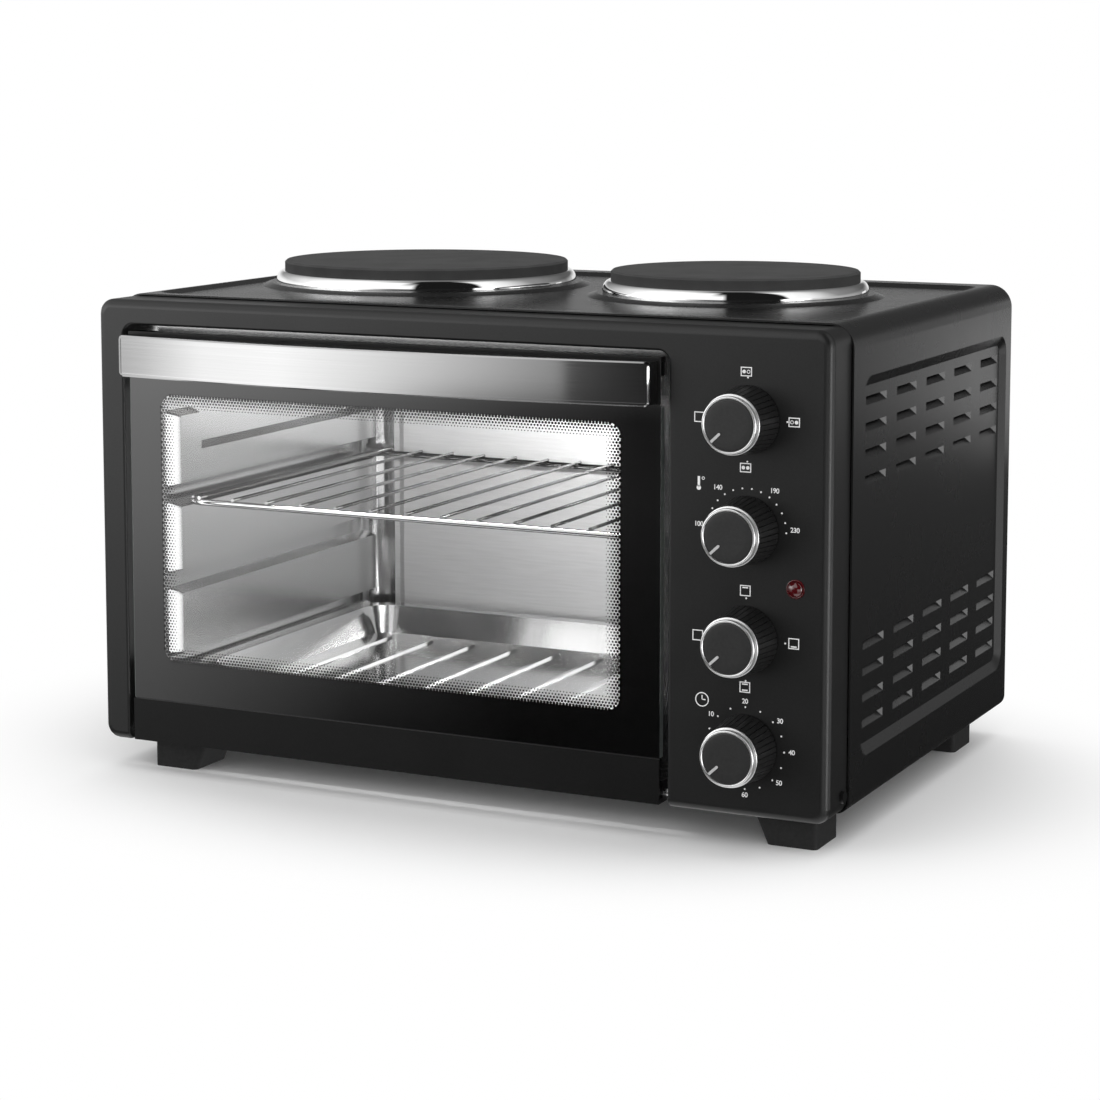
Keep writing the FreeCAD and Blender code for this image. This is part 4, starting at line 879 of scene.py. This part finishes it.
dome = stage_object("reflected_dome", mesh, dome_mat)

# A small bright panel close behind the right side, which shades that side from front to back
PANEL_Y = 0.6
PANEL_STRENGTH = 0.95
PANELS = [((0.25, 0.365), (0.12, 0.33)), ((0.365, 0.44), (0.15, 0.235))]
panel_mat, glow = glowing("side_panel")
glow.inputs["Strength"].default_value = PANEL_STRENGTH
mesh = bmesh.new()
for (left, right), (low, high) in PANELS:
    corner_points = ((left, low), (right, low), (right, high), (left, high))
    mesh.faces.new([mesh.verts.new((x, PANEL_Y, z)) for x, z in corner_points])
panel = stage_object("side_panel", mesh, panel_mat)
for item in (dome, panel):
    for ray in ("camera", "diffuse", "transmission", "shadow"):
        setattr(item, f"visible_{ray}", False)


def lamp(name, size, place_at, aim, power, mirrored=False, spread=180):
    """A soft lamp of a width and height aimed at a point; mirrored says whether reflections show it."""
    data = bpy.data.lights.new(name, "AREA")
    data.shape = "RECTANGLE"
    data.size, data.size_y = size
    data.energy = power
    data.spread = math.radians(spread)
    item = bpy.data.objects.new(name, data)
    item.location = place_at
    item.rotation_euler = (Vector(aim) - Vector(place_at)).to_track_quat("-Z", "Y").to_euler()
    scene.collection.objects.link(item)
    item.visible_camera = False
    item.visible_glossy = mirrored


lamp("key", (1.4, 1.4), (-1.3, -1.5, 1.7), (0, 0, 0.1), 6)
lamp("overhead", (1.8, 1.8), (0.1, 0.3, 2.1), (0, 0, 0.2), 14)
lamp("front", (0.9, 0.9), (0.55, -1.7, 0.55), (0, 0, 0.15), 4)

# Lights inside the oven: two under the top, one inside the right front edge and one along the left front edge
TOP_LAMP_FRONT = 0.008
TOP_LAMP_DROP = 0.016
RIGHT_LAMP_IN = 0.013
RIGHT_LAMP_BACK = 0.006
LEFT_LAMP_IN = 0.0035
LEFT_LAMP_FRONT = 0.013
GLOW_SIDE = 0.1
cavity_low, cavity_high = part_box("cavity_top")
middle = (cavity_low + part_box("cavity_floor")[1]) / 2
top_y = cavity_low.y - TOP_LAMP_FRONT
top_z = cavity_low.z - TOP_LAMP_DROP
back_y = cavity_high.y
lamp("oven_top", (0.28, 0.02), (middle.x, top_y, top_z), (middle.x, back_y, cavity_low.z - 0.05), 0.95, True)
lamp("oven_back", (0.1, 0.02), (middle.x + GLOW_SIDE, top_y, top_z),
     (middle.x + GLOW_SIDE / 2, back_y, cavity_low.z - 0.03), 0.3, True, 70)
lamp("oven_right", (0.02, 0.2), (cavity_high.x - RIGHT_LAMP_IN, cavity_low.y + RIGHT_LAMP_BACK, middle.z),
     (cavity_low.x, back_y, middle.z), 0.04, True)
lamp("oven_left", (0.012, 0.17), (cavity_low.x + LEFT_LAMP_IN, cavity_low.y - LEFT_LAMP_FRONT, middle.z),
     (cavity_low.x + LEFT_LAMP_IN, back_y, middle.z), 0.013, True)

# A white world: full strength where it is seen or reflected, a little less as plain light
DIFFUSE_LEVEL = 0.86
world = bpy.data.worlds.new("studio")
scene.world = world
world.use_nodes = True
tree = world.node_tree
path = tree.nodes.new("ShaderNodeLightPath")
seen = path.outputs["Is Camera Ray"]
for ray in ("Is Glossy Ray", "Is Transmission Ray"):
    most = tree.nodes.new("ShaderNodeMath")
    most.operation = "MAXIMUM"
    tree.links.new(seen, most.inputs[0])
    tree.links.new(path.outputs[ray], most.inputs[1])
    seen = most.outputs["Value"]
level = tree.nodes.new("ShaderNodeMapRange")
level.inputs["To Min"].default_value = DIFFUSE_LEVEL
tree.links.new(seen, level.inputs["Value"])
tree.links.new(level.outputs["Result"], tree.nodes["Background"].inputs["Strength"])
tree.nodes["Background"].inputs["Color"].default_value = (1, 1, 1, 1)

# Camera
CAMERA_AT = (0.7616, -1.5741, 0.4372)
CAMERA_DOWN = 6.609
CAMERA_TURN = 25.968
data = bpy.data.cameras.new("camera")
data.lens = 92.2
data.shift_y = -0.15
data.clip_start = 0.05
camera = bpy.data.objects.new("camera", data)
camera.location = CAMERA_AT
camera.rotation_euler = (math.radians(90 - CAMERA_DOWN), 0, math.radians(CAMERA_TURN))
scene.collection.objects.link(camera)
scene.camera = camera
